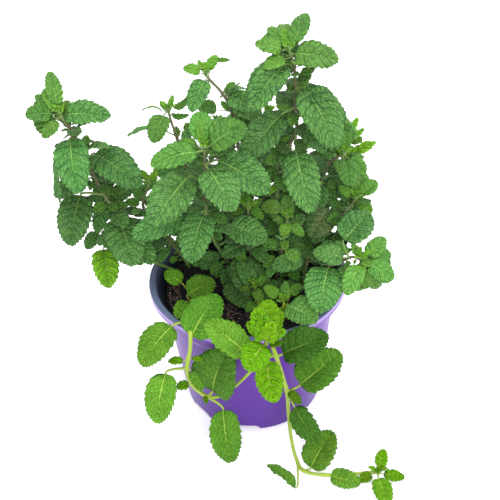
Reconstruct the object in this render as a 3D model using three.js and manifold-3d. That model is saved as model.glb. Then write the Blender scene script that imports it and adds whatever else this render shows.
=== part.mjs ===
// A strawberry mint in its growing pot: a thin plastic pot, the soil in it, and the leafy stems that stand
// in plain holes in the soil. Two of them trail over the rim, and one of those lies along the surface.
// Millimetres, +Z up, -Y towards the front. The origin is the middle of the pot's flat underside.
// Every leaf is a thin arched blade with a toothed edge, on a short stalk fused to its stem.

import * as THREE from 'three';
import { mergeVertices } from 'three/addons/utils/BufferGeometryUtils.js';
import Module from 'manifold-3d';

const wasm = await Module();
wasm.setup();

// The pot: a 13 cm growing pot.
const POT_HEIGHT = 100;
const LIP_RADIUS = 65;
const LIP_WIDTH = 4.6;
const LIP_DEPTH = 5;
const LIP_ROUND = 0.9;
const COLLAR_HEIGHT = 3.5;
const WALL_TOP_RADIUS = 57.2;
const BASE_RADIUS = 48.8;
const BASE_BEVEL = 1.2;
const WALL = 1.3;
const FLOOR_THICKNESS = 1.8;
const POT_SIDES = 36;

// Drain notches round the edge of the base leave feet between them.
const NOTCHES = 8;
const NOTCH_WIDTH = 19;
const NOTCH_HEIGHT = 3.6;
const NOTCH_REACH = 9;
const NOTCH_CROWN = 0.5;
const NOTCH_FIRST_ANGLE = -52;
const DRAIN_WIDTH = 6;
const DRAIN_HEIGHT = 2.2;
const DRAIN_LIFT = 0.4;

// The soil, its surface a little hummocky.
const SOIL_TOP = 88;
const SOIL_HUMMOCK = 1.3;
const SOIL_RINGS = 3;
const SOIL_SIDES = 20;
const SOIL_GAP = 0.5;
const CLEARANCE = 0.3;
const ROOT_DEPTH = 12;

// Stems are square in section, and thinner towards the tip.
const STEM_RADIUS = 1.6;
const STEM_TIP_RADIUS = 0.95;
const RING_STEP = 17;
const HOLE_RINGS = 3;

// Leaves.
const LEAF_THICKNESS = 0.8;
const SMOOTHING = 0.09;
const STALK_LENGTH = 3.5;
const STALK_SHARE = 0.22;
const STALK_HALF_WIDTH = 0.95;
const LONG_STALK = 5;
const NODE_STEP = 1.8;
const FIRST_NODE = 0.6;
const LEAF_WIDE = 0.58;
const LEAF_ARCH = 0.09;
const LEAF_FOLD = 0.34;
const LEAF_DROOP = 0.24;
const BASE_ROUND = 0.43;
const TIP_ROUND = 0.7;
const ARCH_SKEW = 0.8;
const NOTCH_INSET = 0.93;
const TOOTH_OUTSET = 1.05;
const TOOTH_LEAN = 0.7;
const FIRST_TOOTH = 0.05;
const LAST_TOOTH = 0.96;

// Teeth on each side of a leaf, and the places along its midrib where the blade bends, by its length.
const LEAF_CUTS = [
  { over: 30, teeth: 5, ribShares: [0.28, 0.6] },
  { over: 20, teeth: 4, ribShares: [0.45] },
  { over: 12, teeth: 3, ribShares: [] },
  { over: 0, teeth: 2, ribShares: [] },
];

// Room that a leaf keeps from other things, and how far it is bent to find it: towards the viewer, along
// the line of sight, about its own length, and last by growing it smaller.
const LEAF_ROOM = 1.35;
const OWN_ROOM = 0.75;
const OWN_FREE = 0.22;
const SAMPLE_STEP = 2.1;
const FLOOR_ROOM = 0.55;
const POT_ROOM = 1.0;
const FORE_STEP = 8;
const FORE_STEPS = 4;
const PUSH_STEP = 3.5;
const PUSH_STEPS = 2;
const TURN_STEP = 22;
const TURN_STEPS = 2;
const LATER_COST = 0.21;
const SHRINKS = [1, 0.86, 0.72];
const STEM_ROOM = 0.8;

// The photograph's viewpoint. The places of stems and leaves are stated where they are seen in it.
const EYE = new THREE.Vector3(2.4, -360.7, 387.6);
const EYE_PITCH = THREE.MathUtils.degToRad(36.8);
const EYE_ROLL = THREE.MathUtils.degToRad(3.3);
const FOCAL = 700;
const MIDDLE_OF_VIEW = 250;
const FORWARD = new THREE.Vector3(0, Math.cos(EYE_PITCH), -Math.sin(EYE_PITCH));
const VIEW_UP = new THREE.Vector3(0, Math.sin(EYE_PITCH), Math.cos(EYE_PITCH));
const UP = new THREE.Vector3(0, 0, 1);
const FACE_VIEWER = 0.62;
const FACE_UP = 0.5;

// The line of sight through a point of the view, one unit deep.
function sight(across, down) {
  const x = (across - MIDDLE_OF_VIEW) / FOCAL;
  const y = (MIDDLE_OF_VIEW - down) / FOCAL;
  const c = Math.cos(EYE_ROLL);
  const s = Math.sin(EYE_ROLL);
  const direction = FORWARD.clone().addScaledVector(VIEW_UP, c * y - s * x);
  direction.x += c * x + s * y;
  return direction;
}

// What is seen at (across, down), on the upright plane at y.
function upright(across, down, y) {
  const direction = sight(across, down);
  return EYE.clone().addScaledVector(direction, (y - EYE.y) / direction.y);
}

// What is seen at (across, down), at the height z.
function level(across, down, z) {
  const direction = sight(across, down);
  return EYE.clone().addScaledVector(direction, (z - EYE.z) / direction.z);
}

// What is seen at (across, down), at a depth into the view.
function atDepth([across, down], depth) {
  return EYE.clone().addScaledVector(sight(across, down), depth);
}

function depthOf(point) {
  return point.clone().sub(EYE).dot(FORWARD);
}

// A stem's two lowest knots: in the soil, and where it leaves it.
function rooted(across, down) {
  const foot = level(across, down, SOIL_TOP);
  return [new THREE.Vector3(foot.x, foot.y, SOIL_TOP - ROOT_DEPTH), foot];
}

// The leafy stems, front ones first. Each has its knots, and its leaves: the knot that a leaf grows at, where
// its tip is seen, where its blade starts if its stalk is long, how far its tip leans towards the viewer in
// degrees, how far it is turned about its own length, and its width over its length.
const SHOOTS = [
  {
    name: 'stem_front_right',
    knots: [...rooted(284, 321), upright(284, 310, -36), upright(283, 299, -36)],
    leaves: [
      { at: 3, tip: [264, 286], wide: 0.68 },
      { at: 3, tip: [297, 314], wide: 0.66, fore: 15 },
      { at: 2, neck: [288, 306], tip: [317, 322], wide: 0.85, fore: 5 },
      { at: 2, tip: [262, 312], wide: 0.7, fore: 10 },
    ],
  },
  {
    name: 'stem_front_left',
    knots: [...rooted(260, 312), upright(257, 297, -22), upright(253, 283, -22)],
    leaves: [
      { at: 3, tip: [262, 303], wide: 0.66, fore: 20 },
      { at: 2.6, tip: [238, 261], wide: 0.62 },
      { at: 2, tip: [246, 312], wide: 0.66, fore: 15 },
      { at: 1.7, neck: [262, 294], tip: [235, 258], wide: 0.8, fore: -8 },
    ],
  },
  {
    name: 'stem_trail_left',
    knots: [
      ...rooted(194, 303), level(190, 319, 102.6), level(190.5, 335, 103), level(190, 350, 92),
      upright(187, 369, -62), upright(192, 385, -61), upright(209, 397, -61), upright(226, 393, -63),
      upright(246, 376, -68), upright(257, 362, -74), upright(264, 349, -77), upright(267, 338, -79),
    ],
    leaves: [
      { at: 12, tip: [269, 299], wide: 0.8, fore: -5, arch: 0.14 },
      { at: 11.6, neck: [265, 344], tip: [246, 370], wide: 0.92, fore: 18, arch: 0.12 },
      { at: 10, neck: [247, 354], tip: [205, 322], wide: 0.6, fore: 6 },
      { at: 7, neck: [213, 391], tip: [228, 348], wide: 0.8, fore: 4 },
      { at: 7, neck: [223, 408], tip: [231, 463], wide: 0.56, fore: 0 },
      { at: 5, neck: [166, 372], tip: [157, 424], wide: 0.6, fore: 8 },
      { at: 5, tip: [203, 391], wide: 0.45, fore: 12, turn: 35 },
      { at: 3, neck: [191, 338], tip: [219, 295], wide: 0.75, fore: -6 },
      { at: 2.2, neck: [173, 325], tip: [141, 366], wide: 0.64, fore: 8 },
    ],
  },
  {
    name: 'stem_trail_right',
    knots: [
      ...rooted(266, 306), level(268, 323, 102.6), level(270, 338, 103), level(276, 356, 92),
      upright(282, 374, -70), upright(287, 393, -68), upright(288.5, 413, -67), level(291, 437, 16),
      level(296, 458, 3.4), level(304, 471, 1.9), level(326, 475, 1.9), level(352, 474, 1.9),
      level(372, 472, 2.6), level(379, 473, 4),
    ],
    leaves: [
      { at: 4.1, tip: [329, 336], wide: 0.68, fore: 8 },
      { at: 4.1, neck: [266, 360], tip: [275, 403], wide: 0.64, fore: 12 },
      { at: 6, neck: [299, 386], tip: [341, 352], wide: 0.72, fore: 2 },
      { at: 6, neck: [294, 406], tip: [319, 442], wide: 0.55, fore: 5, turn: 20 },
      { at: 10, neck: [310, 469], tip: [333, 431], wide: 0.72, fore: -8 },
      { at: 9.4, neck: [296, 488], neckHeight: 3.5, tip: [267, 465], wide: 0.42, fore: 10, turn: 40 },
      { at: 11, tip: [361, 483], wide: 0.62, fore: 0 },
      { at: 14, tip: [384, 449], wide: 0.68, fore: -10 },
      { at: 14, tip: [405, 477], wide: 0.55, fore: 0 },
      { at: 14, tip: [388, 507], wide: 0.6, fore: 5 },
      { at: 13.6, tip: [359, 481], wide: 0.7, fore: 0 },
    ],
  },
  {
    name: 'stem_right_low',
    knots: [
      ...rooted(303, 289), upright(309, 259, -12), upright(331, 265, -24), upright(352, 257, -30),
      upright(364, 262, -34),
    ],
    leaves: [
      { at: 5, tip: [385, 237], wide: 0.66, fore: -5 },
      { at: 5, tip: [394, 279], wide: 0.74, fore: 8 },
      { at: 5, tip: [346, 295], wide: 0.6, fore: 20 },
      { at: 4, tip: [313, 252], wide: 0.68, fore: 8 },
      { at: 4, neck: [343, 241], tip: [370, 213], wide: 0.85, fore: -10 },
      { at: 3, tip: [319, 313], wide: 0.74, fore: 20 },
      { at: 2, neck: [303, 253], tip: [271, 268], wide: 0.6, fore: 8 },
      { at: 2, neck: [299, 250], tip: [279, 242], wide: 0.85, fore: -5 },
    ],
  },
  {
    name: 'stem_middle',
    knots: [
      ...rooted(232, 268), upright(212, 236, -14), upright(206, 207, -18), upright(205, 182, -20),
      upright(205, 163, -21), upright(204, 147, -22),
    ],
    leaves: [
      { at: 6, tip: [199, 111], wide: 0.78, fore: -8 },
      { at: 6, tip: [247, 126], wide: 0.78, fore: 4 },
      { at: 6, tip: [150, 165], wide: 0.52, fore: 6 },
      { at: 6, tip: [198, 124], wide: 0.4, fore: 20 },
      { at: 4, neck: [189, 176], tip: [151, 224], wide: 0.66, fore: 16 },
      { at: 5, tip: [234, 211], wide: 0.66, fore: 24 },
      { at: 5, neck: [217, 160], tip: [270, 192], wide: 0.62, fore: 10 },
      { at: 3, tip: [190, 263], wide: 0.6, fore: 22 },
      { at: 3, neck: [187, 218], tip: [132, 236], wide: 0.52, fore: 4 },
      { at: 2.4, neck: [229, 224], tip: [267, 240], wide: 0.74, fore: 12 },
      { at: 3, tip: [227, 222], wide: 0.7, fore: 15 },
    ],
  },
  {
    name: 'stem_centre_right',
    knots: [...rooted(276, 279), upright(282, 250, -16), upright(288, 215, -18)],
    leaves: [
      { at: 3, neck: [281, 209], tip: [261, 207], wide: 0.8, fore: 5 },
      { at: 3, tip: [283, 237], wide: 0.7, fore: 25 },
      { at: 3, tip: [304, 236], wide: 0.55, fore: 20 },
      { at: 2.5, tip: [304, 214], wide: 0.6, fore: 0 },
      { at: 2.2, tip: [262, 244], wide: 0.7, fore: 5 },
      { at: 2, tip: [306, 246], wide: 0.7, fore: 15 },
    ],
  },
  {
    name: 'stem_centre_left',
    knots: [...rooted(252, 274), upright(250, 240, -8), upright(248, 204, -10)],
    leaves: [
      { at: 3, tip: [263, 219], wide: 0.62, fore: 20 },
      { at: 2, tip: [222, 256], wide: 0.7, fore: 15 },
      { at: 2, tip: [268, 262], wide: 0.7, fore: 15 },
    ],
  },
  {
    name: 'stem_left_inner',
    knots: [
      ...rooted(189, 266), upright(168, 238, 12), upright(150, 220, 6), upright(143, 204, 4),
      upright(150, 182, 2),
    ],
    leaves: [
      { at: 4, tip: [154, 226], wide: 0.6, fore: 25 },
      { at: 4, tip: [133, 186], wide: 0.6, fore: 0 },
      { at: 3, tip: [173, 205], wide: 0.6, fore: -10 },
      { at: 2, tip: [190, 246], wide: 0.6, fore: 0 },
      { at: 2, tip: [160, 262], wide: 0.5, fore: 20 },
    ],
  },
  {
    name: 'stem_left',
    knots: [
      ...rooted(181, 274), level(155, 262, 106), level(140, 248, 118), upright(116, 213, 6),
      upright(103, 193, 6), upright(94, 176, 6), upright(86, 161, 6), upright(76, 138, 6),
      upright(68, 126, 5), upright(58, 112, 4),
    ],
    leaves: [
      { at: 10, tip: [49, 71], wide: 0.42, fore: -5 },
      { at: 10, tip: [25, 114], wide: 0.78, fore: 8 },
      { at: 10, tip: [43, 138], wide: 0.6, fore: 20 },
      { at: 10, tip: [35, 95], wide: 0.5, fore: 10 },
      { at: 9, neck: [63, 115], tip: [111, 116], wide: 0.54, fore: 4 },
      { at: 8, neck: [70, 138], tip: [79, 194], wide: 0.54, fore: 20 },
      { at: 8, neck: [65, 147], tip: [60, 203], wide: 0.3, fore: 5, turn: 60 },
      { at: 7, neck: [94, 153], tip: [141, 187], wide: 0.58, fore: 12 },
      { at: 5, neck: [81, 194], tip: [70, 246], wide: 0.6, fore: 20 },
      { at: 5, tip: [130, 186], wide: 0.55, fore: 0 },
      { at: 5, tip: [93, 213], wide: 0.6, fore: 15 },
      { at: 4, neck: [118, 218], tip: [134, 266], wide: 0.72, fore: 22 },
      { at: 4, tip: [95, 184], wide: 0.6, fore: 0 },
      { at: 4, neck: [105, 205], tip: [97, 233], wide: 0.5, fore: 25 },
      { at: 4, neck: [99, 233], tip: [86, 249], wide: 0.72, fore: 10 },
      { at: 4, neck: [101, 237], tip: [119, 250], wide: 0.6, fore: 10 },
      { at: 4, neck: [103, 248], tip: [109, 288], wide: 0.62, fore: 15 },
      { at: 3.6, tip: [153, 264], wide: 0.6, fore: 20 },
    ],
  },
  {
    name: 'stem_right_middle',
    knots: [...rooted(297, 268), upright(324, 234, 6), upright(345, 212, 0), upright(357, 197, -2)],
    leaves: [
      { at: 4, tip: [377, 181], wide: 0.78, fore: -5 },
      { at: 4, tip: [372, 213], wide: 0.8, fore: 10 },
      { at: 4, tip: [339, 186], wide: 0.6, fore: 5 },
      { at: 3, tip: [327, 221], wide: 0.7, fore: 10 },
      { at: 3, tip: [329, 196], wide: 0.6, fore: 5 },
      { at: 2.4, neck: [328, 208], tip: [311, 238], wide: 0.85, fore: 18 },
      { at: 2, tip: [300, 244], wide: 0.7, fore: 10 },
    ],
  },
  {
    name: 'stem_right_upper',
    knots: [
      ...rooted(290, 262), upright(309, 215, 14), upright(322, 178, 10), upright(332, 161, 8),
      upright(344, 154, 6),
    ],
    leaves: [
      { at: 5, tip: [366, 173], wide: 0.75, fore: 6 },
      { at: 5, tip: [350, 186], wide: 0.68, fore: 15 },
      { at: 5, tip: [347, 131], wide: 0.75, fore: -5 },
      { at: 4, tip: [318, 138], wide: 0.6, fore: -5 },
      { at: 3, tip: [322, 208], wide: 0.6, fore: 20 },
      { at: 3, tip: [342, 186], wide: 0.6, fore: 5 },
      { at: 2, tip: [330, 204], wide: 0.6, fore: 0 },
      { at: 2, tip: [286, 196], wide: 0.6, fore: 0 },
    ],
  },
  {
    name: 'stem_far_right',
    knots: [...rooted(302, 256), upright(330, 190, 36), upright(340, 165, 38), upright(347, 142, 40)],
    leaves: [
      { at: 4, tip: [358, 117], wide: 0.34 },
      { at: 4, tip: [364, 128], wide: 0.36 },
      { at: 4, tip: [338, 121], wide: 0.6 },
      { at: 3, tip: [376, 141], wide: 0.32 },
      { at: 3, tip: [322, 160], wide: 0.6 },
      { at: 2, tip: [352, 186], wide: 0.6, fore: 10 },
    ],
  },
  {
    name: 'stem_top',
    knots: [
      ...rooted(270, 272), upright(276, 210, 4), upright(281, 165, 6), upright(296, 130, 5),
      upright(295, 106, 4), upright(295, 87, 3), upright(294, 66, 2), upright(289, 49, 1),
    ],
    leaves: [
      { at: 8, tip: [307, 13], wide: 0.52, fore: -8 },
      { at: 8, tip: [255, 43], wide: 0.6, fore: 4 },
      { at: 8, tip: [268, 27], wide: 0.5, fore: -5 },
      { at: 8, neck: [293, 54], tip: [339, 60], wide: 0.64, fore: 6 },
      { at: 7.6, tip: [263, 68], wide: 0.6, fore: 4 },
      { at: 7, neck: [286, 64], tip: [250, 111], wide: 0.52, fore: 14 },
      { at: 6, neck: [304, 88], tip: [336, 149], wide: 0.55, fore: 12 },
      { at: 5, neck: [282, 114], tip: [242, 160], wide: 0.55, fore: 14 },
      { at: 5, tip: [291, 126], wide: 0.7, fore: 30 },
      { at: 4, neck: [296, 151], tip: [311, 213], wide: 0.52, fore: 16 },
      { at: 4, tip: [304, 154], wide: 0.6, fore: 15 },
      { at: 3, tip: [262, 176], wide: 0.6, fore: 5 },
      { at: 3, tip: [286, 192], wide: 0.6, fore: 25 },
      { at: 2, tip: [270, 236], wide: 0.6, fore: 20 },
    ],
  },
  {
    name: 'stem_upper_left',
    knots: [
      ...rooted(252, 258), upright(246, 190, 14), upright(237, 140, 14), upright(231, 109, 14),
      upright(222, 93, 13), upright(212, 82, 12), upright(205, 74, 12),
    ],
    leaves: [
      { at: 7, tip: [183, 68], wide: 0.68, fore: 4 },
      { at: 7, tip: [217, 55], wide: 0.6, fore: 0 },
      { at: 6, neck: [205, 80], tip: [191, 112], wide: 0.56, fore: 14 },
      { at: 5, tip: [253, 110], wide: 0.72, fore: 8 },
      { at: 4, neck: [217, 110], tip: [198, 108], wide: 0.85, fore: 4 },
      { at: 4, tip: [252, 128], wide: 0.6, fore: 5 },
      { at: 3, tip: [262, 150], wide: 0.6, fore: 0 },
      { at: 3, tip: [222, 158], wide: 0.6, fore: 5 },
    ],
  },
  {
    name: 'stem_far_left',
    knots: [
      ...rooted(222, 258), upright(205, 205, 20), upright(186, 165, 22), upright(176, 135, 22),
      upright(171, 121, 22), upright(168, 110, 22),
    ],
    leaves: [
      { at: 6, neck: [164, 115], tip: [153, 143], wide: 0.66, fore: 14 },
      { at: 6, tip: [141, 110], wide: 0.36, fore: 5, turn: 50, arch: 0.2 },
      { at: 5, neck: [171, 114], tip: [189, 115], wide: 0.36, fore: 5, turn: 50, arch: 0.22 },
      { at: 4, neck: [156, 128], tip: [127, 136], wide: 0.36, fore: 5, turn: 40 },
      { at: 3, tip: [158, 176], wide: 0.6, fore: 5 },
      { at: 3, tip: [208, 150], wide: 0.6, fore: 0 },
      { at: 2, tip: [180, 222], wide: 0.6, fore: 10 },
      { at: 2, tip: [230, 192], wide: 0.6, fore: 0 },
    ],
  },
];

// Stems at the back, which the others hide from the front. Their leaves come in pairs, each pair a quarter
// turn from the one below it.
const BACK_STEMS = [
  { name: 'stem_back_left', foot: [-33, 36], top: [-50, 72, 146] },
  { name: 'stem_back_middle', foot: [-14, 46], top: [-16, 88, 168] },
  { name: 'stem_back_right', foot: [12, 46], top: [20, 84, 176] },
  { name: 'stem_back_far_right', foot: [29, 42], top: [46, 74, 150] },
  { name: 'stem_side_right', foot: [47, 6], top: [76, 28, 134] },
];
const BACK_BOW = 7;
const BACK_PAIR_STEP = 28;
const BACK_FIRST_PAIR = 16;
const BACK_LEAF = 33;
const BACK_LEAF_FALL = 0.42;
const BACK_LEAF_SPREAD = 0.18;
const BACK_RISE = 24;
const BACK_RISE_SPREAD = 22;
const BACK_AZIMUTH_SPREAD = 24;
const QUARTER_TURN = 90;
const AZIMUTH_STEP = 18;
const AZIMUTH_STEPS = 2;
const RISE_STEP = 16;
const RISE_STEPS = 2;
const SEED = 20417;

// Colours seen in the photograph.
const POT_COLOUR = 0x7a4cc0;
const SOIL_COLOUR = 0x17131a;
const OLD_GREEN = 0x3f7a34;
const YOUNG_GREEN = 0x6fa62c;
const POT_ROUGHNESS = 0.4;
const SOIL_ROUGHNESS = 0.95;
const LEAF_ROUGHNESS = 0.6;

const GOLDEN_STEP = 0.6180339887;

// A repeatable draw between 0 and 1.
function makeDraw(seed) {
  let state = seed >>> 0;
  return () => {
    state = (state + 0x6d2b79f5) >>> 0;
    let t = state;
    t = Math.imul(t ^ (t >>> 15), t | 1);
    t ^= t + Math.imul(t ^ (t >>> 7), t | 61);
    return ((t ^ (t >>> 14)) >>> 0) / 4294967296;
  };
}

function solidOf(geometry) {
  const bare = geometry.clone();
  bare.deleteAttribute('normal');
  bare.deleteAttribute('uv');
  const merged = mergeVertices(bare, 1e-4);
  return new wasm.Manifold(new wasm.Mesh({
    numProp: 3,
    vertProperties: new Float32Array(merged.attributes.position.array),
    triVerts: new Uint32Array(merged.index.array),
  }));
}

function solidFrom(points, triangles) {
  return new wasm.Manifold(new wasm.Mesh({
    numProp: 3,
    vertProperties: new Float32Array(points.flatMap((point) => [point.x, point.y, point.z])),
    triVerts: new Uint32Array(triangles.flat()),
  }));
}

function geometryOf(solid) {
  const mesh = solid.getMesh();
  const geometry = new THREE.BufferGeometry();
  geometry.setAttribute('position', new THREE.BufferAttribute(new Float32Array(mesh.vertProperties), 3));
  geometry.setIndex(new THREE.BufferAttribute(new Uint32Array(mesh.triVerts), 1));
  geometry.computeVertexNormals();
  return geometry;
}

function lathe(profile, sides) {
  const geometry = new THREE.LatheGeometry(profile.map(([r, z]) => new THREE.Vector2(r, z)), sides);
  geometry.rotateX(Math.PI / 2);
  return solidOf(geometry);
}

// The pot's outer radius at a height below the collar.
function wallRadius(z) {
  return BASE_RADIUS + (WALL_TOP_RADIUS - BASE_RADIUS) * z / (POT_HEIGHT - LIP_DEPTH - COLLAR_HEIGHT);
}

// One drain notch: an arch that comes in from the edge of the base, grown by a margin on its far sides.
function notch(index, grow) {
  const half = NOTCH_WIDTH / 2 + grow;
  const top = NOTCH_HEIGHT + grow;
  const shape = new THREE.Shape();
  shape.moveTo(-half, -1);
  shape.lineTo(half, -1);
  shape.lineTo(half * NOTCH_CROWN, top);
  shape.lineTo(-half * NOTCH_CROWN, top);
  shape.closePath();
  const geometry = new THREE.ExtrudeGeometry(shape, { depth: NOTCH_REACH * 2 + grow, bevelEnabled: false });
  geometry.rotateX(Math.PI / 2);
  geometry.translate(0, BASE_RADIUS + NOTCH_REACH, 0);
  geometry.rotateZ(THREE.MathUtils.degToRad(NOTCH_FIRST_ANGLE + index * 360 / NOTCHES));
  return solidOf(geometry);
}

function notches(grow) {
  return wasm.Manifold.union(Array.from({ length: NOTCHES }, (_, index) => notch(index, grow)));
}

// A slot through the inner face of every second notch.
function drain(index) {
  const geometry = new THREE.BoxGeometry(DRAIN_WIDTH, NOTCH_REACH, DRAIN_HEIGHT);
  geometry.translate(0, BASE_RADIUS - NOTCH_REACH, DRAIN_HEIGHT / 2 + DRAIN_LIFT);
  geometry.rotateZ(THREE.MathUtils.degToRad(NOTCH_FIRST_ANGLE + index * 360 / NOTCHES));
  return solidOf(geometry);
}

// The inside of the pot below the collar.
function cavity(top) {
  return lathe([
    [0, FLOOR_THICKNESS], [wallRadius(FLOOR_THICKNESS) - WALL, FLOOR_THICKNESS],
    [wallRadius(top) - WALL, top], [0, top],
  ], POT_SIDES);
}

function makePot() {
  const wallTop = POT_HEIGHT - LIP_DEPTH - COLLAR_HEIGHT;
  const lipBottom = POT_HEIGHT - LIP_DEPTH;
  const lipInner = LIP_RADIUS - LIP_WIDTH;
  const outside = lathe([
    [0, 0], [BASE_RADIUS - BASE_BEVEL, 0], [BASE_RADIUS, BASE_BEVEL], [WALL_TOP_RADIUS, wallTop],
    [lipInner + WALL / 2, lipBottom], [LIP_RADIUS, lipBottom],
    [LIP_RADIUS, POT_HEIGHT - LIP_ROUND], [LIP_RADIUS - LIP_ROUND, POT_HEIGHT], [0, POT_HEIGHT],
  ], POT_SIDES);
  const mouth = lathe([
    [0, wallTop], [WALL_TOP_RADIUS - WALL, wallTop], [lipInner - WALL / 2, lipBottom],
    [lipInner, POT_HEIGHT + 1], [0, POT_HEIGHT + 1],
  ], POT_SIDES);
  const inside = cavity(wallTop + 0.001).subtract(notches(WALL)).add(mouth);
  const drains = wasm.Manifold.union(Array.from({ length: NOTCHES / 2 }, (_, index) => drain(2 * index)));
  return outside.subtract(notches(0)).subtract(inside).subtract(drains);
}

// The soil's surface rises and falls in low rounded hummocks, as sums of three waves.
function hummock(x, y) {
  const coarse = Math.sin(x * 0.11 + 1.3) * Math.cos(y * 0.09 - 0.4);
  const fine = Math.sin(x * 0.23 - y * 0.19) * 0.5 + Math.cos(x * 0.17 + y * 0.27 + 2) * 0.4;
  return SOIL_HUMMOCK * (coarse + fine) * 0.6;
}

function makeSoil(holes) {
  const shoulder = NOTCH_HEIGHT + WALL + SOIL_GAP;
  const foot = FLOOR_THICKNESS + SOIL_GAP;
  const top = SOIL_TOP + 3 * SOIL_HUMMOCK;
  const heart = BASE_RADIUS - NOTCH_REACH - WALL - 2 * SOIL_GAP;
  const body = lathe([
    [0, foot], [heart, foot], [heart, shoulder],
    [wallRadius(shoulder) - WALL - SOIL_GAP, shoulder], [wallRadius(top) - WALL - SOIL_GAP, top], [0, top],
  ], SOIL_SIDES);
  const points = [new THREE.Vector3(0, 0, SOIL_TOP + hummock(0, 0))];
  const triangles = [];
  const reach = wallRadius(SOIL_TOP) + 4;
  for (let ring = 1; ring <= SOIL_RINGS; ring += 1) {
    for (let side = 0; side < SOIL_SIDES; side += 1) {
      const angle = (side + (ring % 2) * 0.5) * 2 * Math.PI / SOIL_SIDES;
      const x = reach * ring / SOIL_RINGS * Math.cos(angle);
      const y = reach * ring / SOIL_RINGS * Math.sin(angle);
      points.push(new THREE.Vector3(x, y, SOIL_TOP + hummock(x, y)));
    }
  }
  const at = (ring, side) => 1 + (ring - 1) * SOIL_SIDES + (side % SOIL_SIDES);
  for (let side = 0; side < SOIL_SIDES; side += 1) {
    triangles.push([0, at(1, side), at(1, side + 1)]);
    for (let ring = 1; ring < SOIL_RINGS; ring += 1) {
      const shift = ring % 2;
      if (shift) {
        triangles.push([at(ring, side), at(ring + 1, side + 1), at(ring, side + 1)]);
        triangles.push([at(ring, side), at(ring + 1, side), at(ring + 1, side + 1)]);
      } else {
        triangles.push([at(ring, side), at(ring + 1, side), at(ring, side + 1)]);
        triangles.push([at(ring, side + 1), at(ring + 1, side), at(ring + 1, side + 1)]);
      }
    }
  }
  const count = points.length;
  const sky = SOIL_TOP + 30;
  const lid = points.map((point) => new THREE.Vector3(point.x, point.y, sky));
  const air = triangles.map(([a, b, c]) => [c, b, a]);
  triangles.forEach(([a, b, c]) => air.push([a + count, b + count, c + count]));
  for (let side = 0; side < SOIL_SIDES; side += 1) {
    const a = at(SOIL_RINGS, side);
    const b = at(SOIL_RINGS, side + 1);
    air.push([a, b, b + count]);
    air.push([a, b + count, a + count]);
  }
  return body.subtract(solidFrom([...points, ...lid], air)).subtract(wasm.Manifold.union(holes));
}

// A smooth curve through the knots.
function stemCurve(knots) {
  return new THREE.CatmullRomCurve3(knots, false, 'catmullrom', 0.5);
}

function stemRadius(share) {
  return STEM_RADIUS + (STEM_TIP_RADIUS - STEM_RADIUS) * share;
}

// The shares of a stem's length at which its bar has a ring: its root, where it leaves the soil, and then at
// even steps to its tip.
function ringShares(stem) {
  const first = 1 / (stem.knots.length - 1);
  const steps = Math.max(2, Math.round(stem.curve.getLength() / RING_STEP));
  return [0, ...Array.from({ length: steps + 1 }, (_, step) => first + (1 - first) * step / steps)];
}

// The middle of the bar at a share of the stem's length. The bar is straight between its rings.
function barCentre(stem, wanted) {
  const shares = ringShares(stem);
  const share = Math.min(wanted, shares.at(-1));
  const ring = Math.max(1, shares.findIndex((one) => one >= share));
  const [before, after] = [shares[ring - 1], shares[ring]];
  const start = stem.curve.getPoint(before);
  return start.lerp(stem.curve.getPoint(after), (share - before) / (after - before));
}

// Leaves that share a knot grow one below another.
function onStem(stem, leaf) {
  const crowd = Math.max(0, stem.leaves.filter(({ at }) => at === leaf.at).indexOf(leaf));
  const down = (FIRST_NODE + crowd) * NODE_STEP / stem.curve.getLength();
  return barCentre(stem, Math.min(1, leaf.at / (stem.knots.length - 1)) - down);
}

// A square bar along the stem, grown by a margin. It starts a little early, and has only its first rings,
// where it is the hole that the stem stands in.
function squareBar(stem, grow = 0, early = 0, rings = Infinity) {
  const shares = ringShares(stem).slice(0, rings);
  const points = [];
  const triangles = [];
  let normal = new THREE.Vector3(0.8, 0.6, 0);
  shares.forEach((share, ring) => {
    const centre = stem.curve.getPoint(share);
    const along = stem.curve.getTangent(share);
    centre.addScaledVector(along, ring === 0 ? -early : 0);
    normal = normal.clone().addScaledVector(along, -normal.dot(along)).normalize();
    const other = new THREE.Vector3().crossVectors(along, normal);
    const radius = stemRadius(share) + grow;
    for (const [a, b] of [[1, 0], [0, 1], [-1, 0], [0, -1]]) {
      points.push(centre.clone().addScaledVector(normal, a * radius).addScaledVector(other, b * radius));
    }
  });
  const end = (shares.length - 1) * 4;
  for (let ring = 0; ring < end; ring += 4) {
    for (let corner = 0; corner < 4; corner += 1) {
      const a = ring + corner;
      const b = ring + (corner + 1) % 4;
      triangles.push([a, b, b + 4]);
      triangles.push([a, b + 4, a + 4]);
    }
  }
  triangles.push([0, 2, 1], [0, 3, 2], [end, end + 1, end + 2], [end, end + 2, end + 3]);
  return solidFrom(points, triangles);
}

// Half the blade's width at a share of its length: round at the base, widest below the middle.
const WIDEST_AT = BASE_ROUND / (BASE_ROUND + TIP_ROUND);
const WIDEST = WIDEST_AT ** BASE_ROUND * (1 - WIDEST_AT) ** TIP_ROUND;

function halfWidth(blade, u) {
  const held = Math.min(1, Math.max(0, u));
  return 0.5 * blade.wide * blade.length * held ** BASE_ROUND * (1 - held) ** TIP_ROUND / WIDEST;
}

// How far the blade stands off its own plane: arched along its length, folded up from the midrib, and
// turned down again towards the edge.
function rise(blade, u, across, half) {
  const held = Math.min(1, Math.max(0, u));
  const share = half > 0 ? Math.min(1.2, Math.abs(across) / half) : 0;
  const arch = blade.length * blade.arch * Math.sin(Math.PI * held ** ARCH_SKEW);
  return arch + half * (LEAF_FOLD * share - LEAF_DROOP * share * share);
}

// A point of the blade's upper face, or of a face lifted from it.
function bladePoint(blade, u, across, lift = 0) {
  const half = halfWidth(blade, u);
  return blade.base.clone()
    .addScaledVector(blade.along, blade.length * u)
    .addScaledVector(blade.side, across)
    .addScaledVector(blade.normal, rise(blade, u, across, half) + lift);
}

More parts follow.
